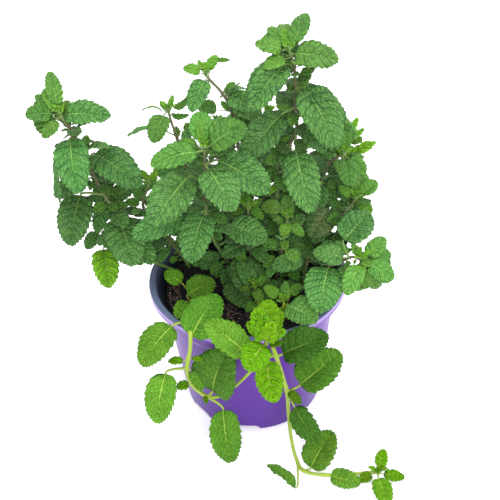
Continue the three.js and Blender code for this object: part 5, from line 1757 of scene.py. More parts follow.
@dataclass(frozen=True)
class StemForm:
    """The fine form of a stem: square with rounded corners, and a little thicker at each pair of leaves."""

    step: float = 1.6
    sides: int = 12
    power: float = 1.5
    slim: float = 0.72
    stout: float = 0.96
    knee: float = 0.2
    knee_reach: float = 2.2
    end_shares: tuple[float, ...] = (0.85, 0.55, 0.2)
    end_step: float = 0.4

    def skin(self, stem: Stem, tone: Callable[[np.ndarray], np.ndarray]) -> Skin:
        """The stem's closed skin.

        Args:
            stem: The stem, with its leaves placed.
            tone: The bark's tone at shares of the stem.

        Returns:
            The skin.
        """
        count = math.ceil(stem.line.length / self.step)
        shares = np.linspace(0, 1, count + 1)
        points = stem.line.points(shares)
        nodes = np.array([blade.share for blade in stem.blades] or [0.5])
        gap = (shares[:, None] - nodes) * stem.line.length / self.knee_reach
        slim = self.stout if stem.shoot.growth is Growth.TRAILING else self.slim
        radii = stem.line.radius(shares) * (slim + self.knee * np.exp(-(gap**2)).max(axis=1))
        along = unit(points[-1] - points[-2])
        ends = np.array(self.end_shares)
        beyond = (np.arange(1, len(ends) + 1) * self.end_step)[:, None]
        path = np.vstack((points, points[-1] + along * beyond))
        radii = np.concatenate((radii, radii[-1] * ends))
        tones = tone(np.concatenate((shares, np.ones(len(ends)))))
        return pipe(path, radii, self.sides, tones, self.power)


@dataclass(frozen=True)
class ShootMaker:
    """Makes each leafy stem's piece: the stem, its stalks and its leaves."""

    centres: np.ndarray
    leaf_form: LeafForm = LeafForm()
    stem_form: StemForm = StemForm()
    seed: int = 7
    # Painted shade darkens a leaf by how many leaves stand over it.
    canopy_reach: float = 15.0
    canopy_above: float = 6.0
    canopy_many: float = 3.0
    # Painted light lifts the lower leaves of the bush, standing in for light from the floor, and lifts the
    # bright leaves. A shaded leaf takes more painted shade.
    painted_light_heights: tuple[float, float] = (95.0, 170.0)
    paler: float = 0.5
    shaded_leaf: float = 1.2
    bright_painted_light: float = -0.35
    bright_bush_painted_light: float = -0.9
    bright_age: float = 0.95
    shaded_age: float = 0.5
    old: float = 0.1
    small_younger: float = 0.5
    small_lengths: tuple[float, float] = (6.0, 17.0)
    tip_younger: float = 0.3
    trailing_younger: float = 0.5
    front_younger: float = 0.12
    brown_from: tuple[float, float] = (0.22, 0.45)
    brown_least: float = 0.15
    brown_more: float = 0.75

    def shade(self, stem: Stem, blade: Blade) -> float:
        """How much painted shade darkens a leaf's colour, by how many leaves stand over it.

        Args:
            stem: Its stem.
            blade: The leaf.

        Returns:
            0 for a leaf in the open to 1 for one under many, and more for a shaded leaf. It is less for the
            lower leaves of the bush, where painted light stands in for light from the floor, and below 0 for a
            bright leaf, which takes painted light.
        """
        if blade.tone is Tone.SHADED:
            return self.shaded_leaf
        if blade.tone is Tone.YOUNG_WITH_PAINTED_LIGHT:
            return self.bright_bush_painted_light if stem.shoot.growth is Growth.BUSH else self.bright_painted_light
        away = self.centres - blade.centre
        over = (np.hypot(away[:, 0], away[:, 1]) < self.canopy_reach) & (away[:, 2] > self.canopy_above)
        # Painted light from the floor, for the lower leaves of the bush.
        low = 1 - float(smooth(*self.painted_light_heights, blade.centre[2]))
        low *= stem.shoot.growth in (Growth.BUSH, Growth.BACK)
        return 1 - math.exp(-over.sum() / self.canopy_many) - self.paler * low

    def age(self, stem: Stem, blade: Blade) -> float:
        """A leaf's age, 0 old to 1 young: small leaves and those near a tip are young.

        Args:
            stem: Its stem.
            blade: The leaf.

        Returns:
            The age.
        """
        if blade.tone is Tone.YOUNG_WITH_PAINTED_LIGHT:
            return self.bright_age
        if blade.tone is Tone.SHADED:
            return self.shaded_age
        small = 1 - float(smooth(*self.small_lengths, np.array(blade.length)))
        age = self.old + self.small_younger * small
        age += self.tip_younger * float(smooth(0.85, 1.0, np.array(blade.share)))
        younger = {Growth.TRAILING: self.trailing_younger, Growth.FRONT: self.front_younger}
        return min(age + younger.get(stem.shoot.growth, 0.0), 1.0)

    def bark(self, stem: Stem, shares: np.ndarray) -> np.ndarray:
        """The bark's tone: purple-brown on the upper stems, and green where it is young or trailing.

        Args:
            stem: The stem.
            shares: Shares of its length.

        Returns:
            Purple, yellow, spare and random shares, a row for each.
        """
        trailing = stem.shoot.growth in (Growth.TRAILING, Growth.FRONT)
        upper = smooth(*self.brown_from, shares) * (1 - smooth(0.9, 1.0, shares))
        purple = np.zeros(len(shares)) if trailing else self.brown_least + self.brown_more * upper
        yellow = np.full(len(shares), 0.9 if trailing else 0.15)
        random = np.full(len(shares), (stem.index * GOLDEN_STEP) % 1)
        return np.column_stack((purple, yellow, np.zeros(len(shares)), random))

    def make(self, stem: Stem, finishes: Sequence[bpy.types.Material]) -> Piece:
        """Makes one leafy stem's piece.

        Args:
            stem: The stem, with its leaves placed.
            finishes: The leaf's material and the bark's.

        Returns:
            The piece.
        """
        stalk_tone = self.bark(stem, np.array([0.97])) * np.array((0.6, 1.0, 1.0, 1.0))
        skins = []
        for index, blade in enumerate(stem.blades):
            draw = np.random.default_rng((self.seed, stem.index, index))
            age, shade = self.age(stem, blade), self.shade(stem, blade)
            skins.append(self.leaf_form.blade_skin(blade, age, shade, draw))
            foot = stem.line.points(np.array([blade.share]))[0]
            skins.append(self.leaf_form.stalk_skin(blade, foot, stalk_tone))
        skins.append(self.stem_form.skin(stem, lambda shares: self.bark(stem, shares)))
        piece = Piece(stem.shoot.name.replace("stem", "shoot"), skins, finishes)
        piece.take_place("leafy_stem", stem.shoot.name)
        return piece


class Nodes:
    """A material's nodes, put together by short calls."""

    def __init__(self, name: str) -> None:
        """Starts a material with its output and its shader.

        Args:
            name: The material's name.
        """
        self.material = bpy.data.materials.new(name)
        self.material.use_nodes = True
        self.tree = self.material.node_tree
        self.tree.nodes.clear()
        output = self.tree.nodes.new("ShaderNodeOutputMaterial")
        self.shader = self.tree.nodes.new("ShaderNodeBsdfPrincipled")
        self.tree.links.new(self.shader.outputs[0], output.inputs[0])

    def put(self, socket: bpy.types.NodeSocket, value: object) -> None:
        """Links a socket, or sets its own value.

        Args:
            socket: The input.
            value: The output to link it to, or the value.
        """
        if isinstance(value, bpy.types.NodeSocket):
            self.tree.links.new(value, socket)
        else:
            socket.default_value = value

    def add(self, kind: str, inputs: dict, **settings: object) -> bpy.types.Node:
        """Adds a node.

        Args:
            kind: Its type's name, without ShaderNode.
            inputs: Values or links for its inputs, by name or number.
            settings: Its own settings.

        Returns:
            The node.
        """
        node = self.tree.nodes.new("ShaderNode" + kind)
        for name, value in settings.items():
            setattr(node, name, value)
        for name, value in inputs.items():
            self.put(node.inputs[name], value)
        return node

    def set(self, **values: object) -> None:
        """Sets the shader's inputs, named with _ for a space."""
        for name, value in values.items():
            self.put(self.shader.inputs[name.replace("_", " ")], value)

    def vector(self, operation: str, a: object, b: object) -> bpy.types.NodeSocket:
        """The result of an operation on two vectors."""
        return self.add("VectorMath", {0: a, 1: b}, operation=operation).outputs[0]

    def scaled(self, vector: object, share: object) -> bpy.types.NodeSocket:
        """A vector times a value."""
        return self.add("VectorMath", {0: vector, "Scale": share}, operation="SCALE").outputs[0]

    def math(self, operation: str, a: object, b: object = 0.0) -> bpy.types.NodeSocket:
        """The result of a sum, product or other operation on two values."""
        return self.add("Math", {0: a, 1: b}, operation=operation).outputs[0]

    def times(self, *values: object) -> bpy.types.NodeSocket:
        """Multiplies several values.

        Args:
            values: The values.

        Returns:
            Their product.
        """
        total = values[0]
        for value in values[1:]:
            total = self.math("MULTIPLY", total, value)
        return total

    def without(self, value: object) -> bpy.types.NodeSocket:
        """One minus a value."""
        return self.math("SUBTRACT", 1.0, value)

    def step(self, value: object, low: float, high: float) -> bpy.types.NodeSocket:
        """A smooth step of a value, from 0 at low to 1 at high."""
        inputs = {"Value": value, "From Min": low, "From Max": high}
        return self.add("MapRange", inputs, interpolation_type="SMOOTHSTEP").outputs[0]

    def mix(self, share: object, a: object, b: object) -> bpy.types.NodeSocket:
        """A colour between two."""
        return self.add("Mix", {0: share, 6: a, 7: b}, data_type="RGBA").outputs[2]

    def noise(self, vector: object, *settings: float) -> bpy.types.NodeSocket:
        """A noise over a vector, by its scale, its detail and its roughness."""
        inputs = dict(zip(("Scale", "Detail", "Roughness"), settings))
        return self.add("TexNoise", {"Vector": vector, **inputs}).outputs["Fac"]

    def look(self, name: str) -> bpy.types.Node:
        """Reads a mesh attribute."""
        return self.add("Attribute", {}, attribute_name=name)

    def parts(self, vector: object) -> Sequence[bpy.types.NodeSocket]:
        """The three numbers of a vector."""
        return self.add("SeparateXYZ", {0: vector}).outputs

    def bump(self, height: object, distance: float, strength: float = 1.0) -> None:
        """Raises the surface by a height, as shading."""
        inputs = {"Height": height, "Distance": distance * MM, "Strength": strength}
        self.set(Normal=self.add("Bump", inputs).outputs[0])

    def place(self) -> bpy.types.NodeSocket:
        """The point of the object, in millimetres."""
        point = self.add("TexCoord", {}).outputs["Object"]
        return self.scaled(point, 1 / MM)


@dataclass(frozen=True)
class LeafFinish:
    """A mint leaf: domes of lighter green between creases darkened by painted shade, pale veins, and a soft
    grey sheen. Painted shade and painted light also set the leaf's value.

    A crease's or a side vein's width is a share of the way between two side veins, and the midrib's is a
    share of half the leaf's width.
    """

    name: str = "bush_leaf"
    gloss: float = 1.3
    sheen: float = 0.04
    vein: Colour = srgb(146, 186, 96)
    # Greens of the domes and of the creases. The creases' darker green is painted shade.
    old_dome: Colour = srgb(88, 141, 67)
    old_crease: Colour = srgb(21, 66, 30)
    young_dome: Colour = srgb(97, 146, 8)
    young_crease: Colour = srgb(34, 84, 0)
    under: Colour = srgb(118, 150, 96)
    bronze: Colour = srgb(134, 146, 92)
    under_share: float = 0.55
    bronze_share: float = 0.75
    # How far the random tone, the painted shade and the painted light move the leaf's value.
    shaded: float = 0.36
    darkest: float = 0.83
    least_hue: float = 0.492
    hue_spread: float = 0.014
    cell: float = 2.4
    cells_per_vein: float = 2.0
    cell_random: float = 0.85
    wander_scale: float = 0.45
    wander: float = 0.3
    crease_width: float = 0.085
    net_width: float = 0.14
    net_share: float = 0.82
    young_calm: float = 0.42
    patch_scale: float = 0.14
    patch: float = 0.75
    plain: float = 0.42
    crease_painted_shade: float = 0.76
    side_vein_width: float = 0.09
    side_vein_fade: float = 0.8
    side_vein_ages: tuple[float, float] = (0.3, 0.8)
    midrib_fade: tuple[float, float] = (0.2, 0.75)
    bronze_patch: tuple[float, float] = (0.36, 0.6)
    bronze_aside: float = 0.1
    raised_along: float = 0.3
    raised_across: float = 0.16
    dome_width: float = 0.38
    side_vein_share: float = 0.55
    midrib_width: float = 0.055
    midrib_share: float = 0.8
    rough: float = 0.46
    crease_rough: float = 0.2
    sheen_rough: float = 0.45
    vein_bump: float = 0.7
    cell_bump: float = 1.1
    bump_depth: float = 0.5
    bump_strength: float = 0.85

    def material(self) -> bpy.types.Material:
        """Makes the material from the leaf's own attributes.

        Returns:
            The material. The side veins run where the first number of the leaf's place is whole. Between
            them the blade is parted by finer creases into cells that are longer across than along.
        """
        nodes = Nodes(self.name)
        vein, across, along = nodes.parts(nodes.look("leaf_place").outputs["Vector"])
        spot = nodes.look("leaf_mm").outputs["Vector"]
        _, aside, seed = nodes.parts(spot)
        tone = nodes.look("leaf_tone")
        age, bronze, under = nodes.add("SeparateColor", {0: tone.outputs["Color"]}).outputs
        # The fourth number is a random tone less the painted shade.
        tone_and_painted_light = tone.outputs["Alpha"]
        wander = nodes.math("SUBTRACT", nodes.noise(spot, self.wander_scale, 2.0), 0.5)
        vein = nodes.math("ADD", vein, nodes.times(wander, self.wander))
        net = {0: nodes.times(vein, self.cells_per_vein), 1: nodes.times(aside, 1 / self.cell), 2: seed}
        net = nodes.add("CombineXYZ", net).outputs[0]
        inputs = {"Vector": net, "Scale": 1.0, "Randomness": self.cell_random}
        cells = nodes.add("TexVoronoi", inputs, feature="DISTANCE_TO_EDGE").outputs["Distance"]
        far = nodes.math("ABSOLUTE", across)
        off = nodes.math("SUBTRACT", nodes.math("FRACT", nodes.math("ADD", vein, 0.5)), 0.5)
        off = nodes.math("ABSOLUTE", off)
        calm = nodes.without(nodes.times(age, self.young_calm))
        crease = nodes.without(nodes.step(off, 0.01, self.crease_width))
        net_crease = nodes.without(nodes.step(cells, 0.0, self.net_width))
        net_crease = nodes.times(net_crease, self.net_share, calm)
        # The side veins and the net of creases are darkened by painted shade.
        dark = nodes.math("MAXIMUM", nodes.times(crease, calm), net_crease)
        patch = nodes.noise(spot, self.patch_scale, 3.0)
        share = nodes.math("ADD", self.plain, nodes.times(patch, self.patch))
        share = nodes.math("SUBTRACT", share, nodes.times(dark, self.crease_painted_shade))
        share = nodes.math("MAXIMUM", share, 0.0)
        crease_colour = nodes.mix(age, self.old_crease, self.young_crease)
        dome_colour = nodes.mix(age, self.old_dome, self.young_dome)
        bronzed = nodes.math("ADD", patch, nodes.times(across, self.bronze_aside))
        bronzed = nodes.times(bronze, nodes.step(bronzed, *self.bronze_patch), self.bronze_share)
        dome_colour = nodes.mix(bronzed, dome_colour, self.bronze)
        colour = nodes.mix(share, crease_colour, dome_colour)
        side_vein = nodes.without(nodes.step(off, 0.0, self.side_vein_width))
        fading = nodes.without(nodes.times(far, self.side_vein_fade))
        young = nodes.step(age, *self.side_vein_ages)
        side_vein = nodes.times(side_vein, fading, young, self.side_vein_share)
        colour = nodes.mix(side_vein, colour, self.vein)
        midrib = nodes.without(nodes.step(far, 0.0, self.midrib_width))
        fading = nodes.without(nodes.step(along, *self.midrib_fade))
        midrib = nodes.times(midrib, fading, self.midrib_share)
        colour = nodes.mix(midrib, colour, self.vein)
        colour = nodes.mix(nodes.times(under, self.under_share), colour, self.under)
        # The value falls with painted shade under other leaves and rises with painted light.
        inputs = {
            "Hue": nodes.math("ADD", self.least_hue, nodes.times(seed, self.hue_spread / LeafForm.seeds)),
            "Value": nodes.math("ADD", self.darkest, nodes.times(tone_and_painted_light, self.shaded)),
            "Color": colour,
        }
        colour = nodes.add("HueSaturation", inputs).outputs[0]
        rough = nodes.math("ADD", self.rough, nodes.times(dark, self.crease_rough))
        nodes.set(Base_Color=colour, Roughness=rough, IOR=self.gloss)
        nodes.set(Sheen_Weight=self.sheen, Sheen_Roughness=self.sheen_rough)
        raised = nodes.times(nodes.step(off, 0.0, self.raised_along), nodes.step(far, 0.0, self.raised_across))
        raised = nodes.times(raised, self.vein_bump)
        domes = nodes.times(nodes.step(cells, 0.0, self.dome_width), self.cell_bump)
        nodes.bump(nodes.math("ADD", raised, domes), self.bump_depth, self.bump_strength)
        return nodes.material


@dataclass(frozen=True)
class BarkFinish:
    """A mint stem: purple-brown with green between, or yellow-green where it trails, lined along it."""

    purple: Colour = srgb(92, 62, 66)
    green: Colour = srgb(92, 132, 60)
    yellow: Colour = srgb(140, 162, 36)
    lines_along: float = 0.12
    lines_round: float = 2.2
    line_scale: float = 1.6
    rough: float = 0.48
    sheen: float = 0.03
    bump_depth: float = 0.25

    def material(self) -> bpy.types.Material:
        """Makes the material from the stem's own attributes.

        Returns:
            The material.
        """
        nodes = Nodes("mint_bark")
        travelled, angle, _ = nodes.parts(nodes.look("leaf_place").outputs["Vector"])
        tone = nodes.look("leaf_tone").outputs["Color"]
        purple, yellow, _ = nodes.add("SeparateColor", {0: tone}).outputs
        along, aside = nodes.times(travelled, self.lines_along), nodes.times(angle, self.lines_round)
        lined = nodes.add("CombineXYZ", {0: along, 1: aside, 2: yellow}).outputs[0]
        streak = nodes.noise(lined, self.line_scale, 3.0)
        colour = nodes.mix(yellow, self.green, self.yellow)
        share = nodes.times(purple, nodes.step(streak, 0.25, 0.6))
        colour = nodes.mix(share, colour, self.purple)
        shade = {"Value": nodes.math("ADD", 0.75, nodes.times(streak, 0.5)), "Color": colour}
        colour = nodes.add("HueSaturation", shade).outputs[0]
        nodes.set(Base_Color=colour, Roughness=self.rough, Sheen_Weight=self.sheen)
        nodes.bump(streak, self.bump_depth, 0.6)
        return nodes.material


@dataclass(frozen=True)
class PotFinish:
    """Thin satin plastic: purple outside, with a painted highlight round the lip and painted shade low down,
    and charcoal inside and on the lip.
    """

    outside: Colour = srgb(82, 22, 138)
    # A darker purple towards the base: painted shade, as the top takes more light.
    painted_shade_purple: Colour = srgb(69, 13, 127)
    painted_shade_heights: tuple[float, float] = (10.0, 90.0)
    cloud: tuple[float, ...] = (0.03, 2.0)
    cloud_rise: float = 16.0
    # Lavender for the painted highlight round the outer edge of the lip, and for the faint scratch.
    highlight_and_scratch_lavender: Colour = srgb(196, 176, 232)
    highlight_and_scratch_share: float = 0.6
    scratch_start: Place = (-36.3, -42.9, 80.2)
    scratch_end: Place = (-23.3, -51.2, 81.1)
    scratch_width: float = 0.5
    scratch_bow: float = 0.2
    inside: Colour = srgb(20, 26, 38)
    lip: Colour = srgb(88, 98, 124)
    rough: float = 0.24
    scuff_rough: float = 0.16
    scuff: tuple[float, ...] = (1.8, 4.0, 0.65)
    scuff_stretch: Place = (1.0, 1.0, 0.12)
    dimple: tuple[float, ...] = (2.4, 3.0)
    dimple_depth: float = 0.05
    gloss: float = 1.37

    def scratch(self, nodes: Nodes, point: bpy.types.NodeSocket) -> bpy.types.NodeSocket:
        """Where the faint scratch runs, by the distance from the line between its ends.

        Args:
            nodes: The material's nodes.
            point: The point of the object.

        Returns:
            1 on the scratch and 0 off it.
        """
        start, end = np.array(self.scratch_start), np.array(self.scratch_end)
        way = tuple(unit(end - start))
        offset = nodes.vector("SUBTRACT", point, tuple(start))
        share = nodes.add("VectorMath", {0: offset, 1: way}, operation="DOT_PRODUCT").outputs[1]
        share = nodes.math("MINIMUM", nodes.math("MAXIMUM", share, 0.0), float(np.linalg.norm(end - start)))
        beside = nodes.vector("SUBTRACT", offset, nodes.scaled(way, share))
        beside = nodes.add("VectorMath", {0: beside}, operation="LENGTH").outputs[1]
        beside = nodes.math("SUBTRACT", beside, self.scratch_bow)
        return nodes.without(nodes.step(beside, 0.0, self.scratch_width))

    def material(self) -> bpy.types.Material:
        """Makes the material from the pot's zones and the point of the object.

        Returns:
            The material. A zone of 0 is outside, 0.5 the lip and 1 inside. The second number marks the band
            round the outer edge of the lip that takes a painted highlight.
        """
        nodes = Nodes("pot_plastic")
        zone, edge, _ = nodes.parts(nodes.look("pot_zone").outputs["Vector"])
        point = nodes.place()
        _, _, height = nodes.parts(point)
        rise = nodes.math("ADD", height, nodes.times(nodes.noise(point, *self.cloud), self.cloud_rise))
        # Darker towards the base, by height with a cloud of noise: painted shade.
        colour = nodes.mix(nodes.step(rise, *self.painted_shade_heights), self.painted_shade_purple, self.outside)
        # The band round the outer edge of the lip is lightened to lavender: a painted highlight.
        colour = nodes.mix(nodes.times(edge, self.highlight_and_scratch_share), colour, self.highlight_and_scratch_lavender)
        scratch = self.scratch(nodes, point)
        colour = nodes.mix(nodes.times(scratch, self.highlight_and_scratch_share), colour, self.highlight_and_scratch_lavender)
        inner = nodes.mix(nodes.step(zone, 0.55, 0.95), self.lip, self.inside)
        colour = nodes.mix(nodes.step(zone, 0.2, 0.45), colour, inner)
        scuff = nodes.noise(nodes.vector("MULTIPLY", point, self.scuff_stretch), *self.scuff)
        rough = nodes.math("ADD", self.rough, nodes.times(scuff, self.scuff_rough))
        nodes.set(Base_Color=colour, Roughness=rough, IOR=self.gloss)
        nodes.bump(nodes.noise(point, *self.dimple), self.dimple_depth, 0.5)
        return nodes.material


@dataclass(frozen=True)
class MixFinish:
    """Moist potting mix or a crumb of it: near-black with brown and pale specks."""

    name: str = "potting_mix"
    dark: Colour = srgb(6, 6, 13)
    brown: Colour = srgb(23, 19, 25)
    pale: Colour = srgb(140, 122, 108)
    speck: float = 0.7
    grain: tuple[float, ...] = (0.9, 5.0, 0.7)
    fine: tuple[float, ...] = (3.2, 3.0, 0.6)
    brown_steps: tuple[float, float] = (0.42, 0.66)
    rough: float = 0.7
    fine_rough: float = 0.3
    pale_from: float = 0.72
    pale_to: float = 0.8
    gloss: float = 1.4
    bump_depth: float = 1.1
    bump_strength: float = 0.9

    def material(self) -> bpy.types.Material:
        """Makes the material from the point of the object.

        Returns:
            The material.
        """
        nodes = Nodes(self.name)
        point = nodes.place()
        grain = nodes.noise(point, *self.grain)
        fine = nodes.noise(point, *self.fine)
        colour = nodes.mix(nodes.step(grain, *self.brown_steps), self.dark, self.brown)
        specks = nodes.times(nodes.step(fine, self.pale_from, self.pale_to), self.speck)
        colour = nodes.mix(specks, colour, self.pale)
        rough = nodes.math("ADD", self.rough, nodes.times(fine, self.fine_rough))
        nodes.set(Base_Color=colour, Roughness=rough, IOR=self.gloss)
        nodes.bump(nodes.math("ADD", grain, nodes.times(fine, 0.5)), self.bump_depth, self.bump_strength)
        return nodes.material


@dataclass(frozen=True)
class PlainFloor:
    """A plain pale floor, a little uneven in its tone."""

    pale: Colour = srgb(247, 246, 250)
    paler: Colour = srgb(252, 252, 254)
    cloud_scale: float = 0.004
    rough: float = 0.6
    glow: float = 0.16

    def material(self) -> bpy.types.Material:
        """Makes the material.

        Returns:
            The material.
        """
        nodes = Nodes("pale_floor")
        cloud = nodes.noise(nodes.place(), self.cloud_scale, 2.0)
        colour = nodes.mix(cloud, self.pale, self.paler)
        nodes.set(Base_Color=colour, Roughness=self.rough)
        nodes.set(Emission_Color=colour, Emission_Strength=self.glow)
        return nodes.material


OUTSIDE, ON_LIP, LIP_INSIDE, LIP_FOOT, INSIDE = 0.0, 0.5, 0.55, 0.8, 1.0


@dataclass(frozen=True)
class Pot:
    """The growing pot: a thin tapered wall, a rolled lip, and drain notches round the edge of its base."""

    sides: int = 256
    middle_radii: tuple[float, ...] = (0.5, 12.0, 24.0, 34.0)
    outer_radii: tuple[float, ...] = (42.0, 45.0)
    notch_edge: float = 0.3
    bevel_turns: tuple[float, ...] = (-60, -40, -20, 0)
    wall_lowest: float = 2.2
    wall_rows: int = 30
    flare_in: float = 1.9
    flare_down: float = 1.4
    flare_top: float = 0.2
    lip_start: float = 0.4
    lip_under: tuple[tuple[float, float], ...] = ((0.5, 0.0), (0.1, 0.2), (0.0, 0.6))
    lip_turns: tuple[float, ...] = (25, 50, 75, 90)
    lip_within: tuple[tuple[float, float], ...] = ((1.2, 0.0), (0.5, 0.2), (0.1, 0.8))
    lip_drop: float = 1.6
    inside_top: float = 1.5
    inside_lowest: float = 6.5
    inside_rows: int = 16
    floor_radii: tuple[float, ...] = (46.6, 43.0)
    floor_middle: tuple[float, ...] = (30.0, 15.0, 0.5)
    lip_round: float = 1.1
    base_bevel: float = 1.2
    floor: float = 1.8
    notches: int = 8
    notch_half: float = 8.47
    notch_slope: float = 3.72
    notch_height: float = 3.6
    notch_reach: float = 9.0
    notch_first: float = -52.0
    soften: float = 12.0

    def profile(self) -> np.ndarray:
        """The wall's closed profile.

        Returns:
            Rows of radius, height and zone, from the middle of the underside round the lip to the middle
            of the floor inside.
        """
        top, low = POT_HEIGHT, POT_HEIGHT - LIP_DEPTH
        inner = LIP_RADIUS - LIP_WIDTH
        collar = inner + WALL / 2
        wall_top = low - COLLAR_HEIGHT
        notch_wall = BASE_RADIUS - self.notch_reach
        edge = BASE_RADIUS - self.base_bevel
        near_notch = (notch_wall - self.notch_edge, notch_wall, notch_wall + self.notch_edge)
        radii = (*self.middle_radii, *near_notch, *self.outer_radii, edge)
        under = [(r, 0.0, OUTSIDE) for r in radii]
        for a in np.radians(self.bevel_turns):
            under.append((edge + self.base_bevel * math.cos(a), self.base_bevel * (1 + math.sin(a)), OUTSIDE))
        heights = np.linspace(self.wall_lowest, wall_top, self.wall_rows)
        wall = [(float(wall_radius(z)), float(z), OUTSIDE) for z in heights]
        flare = [(collar - self.flare_in, low - self.flare_down, OUTSIDE)]
        flare.append((collar, low - self.flare_top, OUTSIDE))
        lip = [(collar + self.lip_start, low, OUTSIDE)]
        lip += [(LIP_RADIUS - inward, low + up, OUTSIDE) for inward, up in self.lip_under]
        lip.append((LIP_RADIUS, top - self.lip_round, OUTSIDE))
        for a in np.radians(self.lip_turns):
            r = LIP_RADIUS - self.lip_round * (1 - math.cos(a))
            lip.append((r, top - self.lip_round * (1 - math.sin(a)), OUTSIDE if a < 0.7 else ON_LIP))
        lip += [(inner + outward, top - down, ON_LIP) for outward, down in self.lip_within]
        lip += [(inner, top - self.lip_drop, LIP_INSIDE), (inner - WALL / 2, low, LIP_FOOT)]
        lip.append((WALL_TOP_RADIUS - WALL, wall_top, INSIDE))
        heights = np.linspace(wall_top - self.inside_top, self.inside_lowest, self.inside_rows)
        inside = [(float(wall_radius(z)) - WALL, float(z), INSIDE) for z in heights]
        near_notch = (notch_wall - WALL + self.notch_edge, notch_wall - WALL - self.notch_edge)
        radii = (*self.floor_radii, *near_notch, *self.floor_middle)
        floor = [(r, self.floor, INSIDE) for r in radii]
        return np.array(under + wall + flare + lip + inside + floor)

    def notch_rise(self, radius: np.ndarray, angle: np.ndarray, grow: float) -> np.ndarray:
        """How high the drain notches lift the base: an arch in each, with its sides parallel.

        Args:
            radius: Radii of the points.
            angle: Their angles.
            grow: How much larger than the outside the notch is, for the inside of the wall.

        Returns:
            The lift of each point.
        """
        centres = np.radians(90 + self.notch_first + np.arange(self.notches) * 360 / self.notches)
        turn = (angle[..., None] - centres + math.pi) % FULL_TURN - math.pi
        aside = np.abs(radius[..., None] * np.sin(turn)) + 999.0 * (np.abs(turn) > 1.0)
        arch = np.clip((self.notch_half + grow - aside) / self.notch_slope, 0, 1).max(axis=-1)
        end = BASE_RADIUS - self.notch_reach - grow
        reached = smooth(end - 0.35, end, radius)
        return (self.notch_height + grow) * arch * (2 - arch) * reached

    def build(self) -> Piece:
        """Builds the pot's piece.

        Returns:
            The piece.
        """
        profile = self.profile()
        angle = (np.arange(self.sides) * FULL_TURN / self.sides)[None, :]
        radius = profile[:, :1] + 0 * angle
        height = profile[:, 1:2] + 0 * angle
        zone = profile[:, 2:] + 0 * angle
        outside = zone < 0.25
        angles = angle + 0 * radius
        rise = self.notch_rise(radius, angles, 0.0) * outside
        inner_rise = np.maximum(self.notch_rise(radius, angles, WALL) - self.floor, 0.0) * ~outside
        fade = np.clip(1 - height / self.soften, 0, 1)
        height = height + rise * fade + inner_rise * np.clip(1 - (height - self.floor) / self.soften, 0, 1)
        side_wall = outside & (profile[:, 1:2] > 0.9) & (profile[:, 1:2] < 90)
        radius = np.where(side_wall, np.minimum(wall_radius(height), radius + 1), radius)
        points = np.stack((radius * np.cos(angle), radius * np.sin(angle), height), axis=-1)
        # The band round the outer edge of the lip, which takes a painted highlight.
        painted_rim_highlight = (np.abs(height - POT_HEIGHT + 1.6) < 1.4) & outside & (radius > LIP_RADIUS - 1)
        looks = {"pot_zone": np.stack((zone, painted_rim_highlight.astype(float), 0 * zone), axis=-1)}
        piece = Piece("growing_pot", [Skin.tube(points, looks, 0)], [PotFinish().material()])
        piece.take_place("pot", "pot")
        return piece


@dataclass(frozen=True)
class Lumps:
    """Lumps that lie on the soil: how many, their radii, and their length, width and height for those."""

    count: int
    radii: tuple[float, float]
    stretch: Place
    seed: int
    spotted: bool


CRUMBS = Lumps(640, (0.5, 1.5), (1.0, 0.8, 0.7), 11, False)
BARK = Lumps(90, (0.6, 1.9), (1.7, 0.6, 0.34), 12, True)
GRAINS = Lumps(40, (0.4, 0.9), (1.3, 0.7, 0.5), 13, True)


def turned(points: np.ndarray, angle: np.ndarray, first: int, second: int) -> np.ndarray:
    """Lumps turned about the origin, in the plane of two axes.

    Args:
        points: The points of each lump.
        angle: The angle of each lump.
        first: The axis that the turn starts from.
        second: The axis that it goes towards.

    Returns:
        The turned points.
    """
    c, s = np.cos(angle)[:, None], np.sin(angle)[:, None]
    moved = points.copy()
    moved[..., first] = points[..., first] * c - points[..., second] * s
    moved[..., second] = points[..., first] * s + points[..., second] * c
    return moved


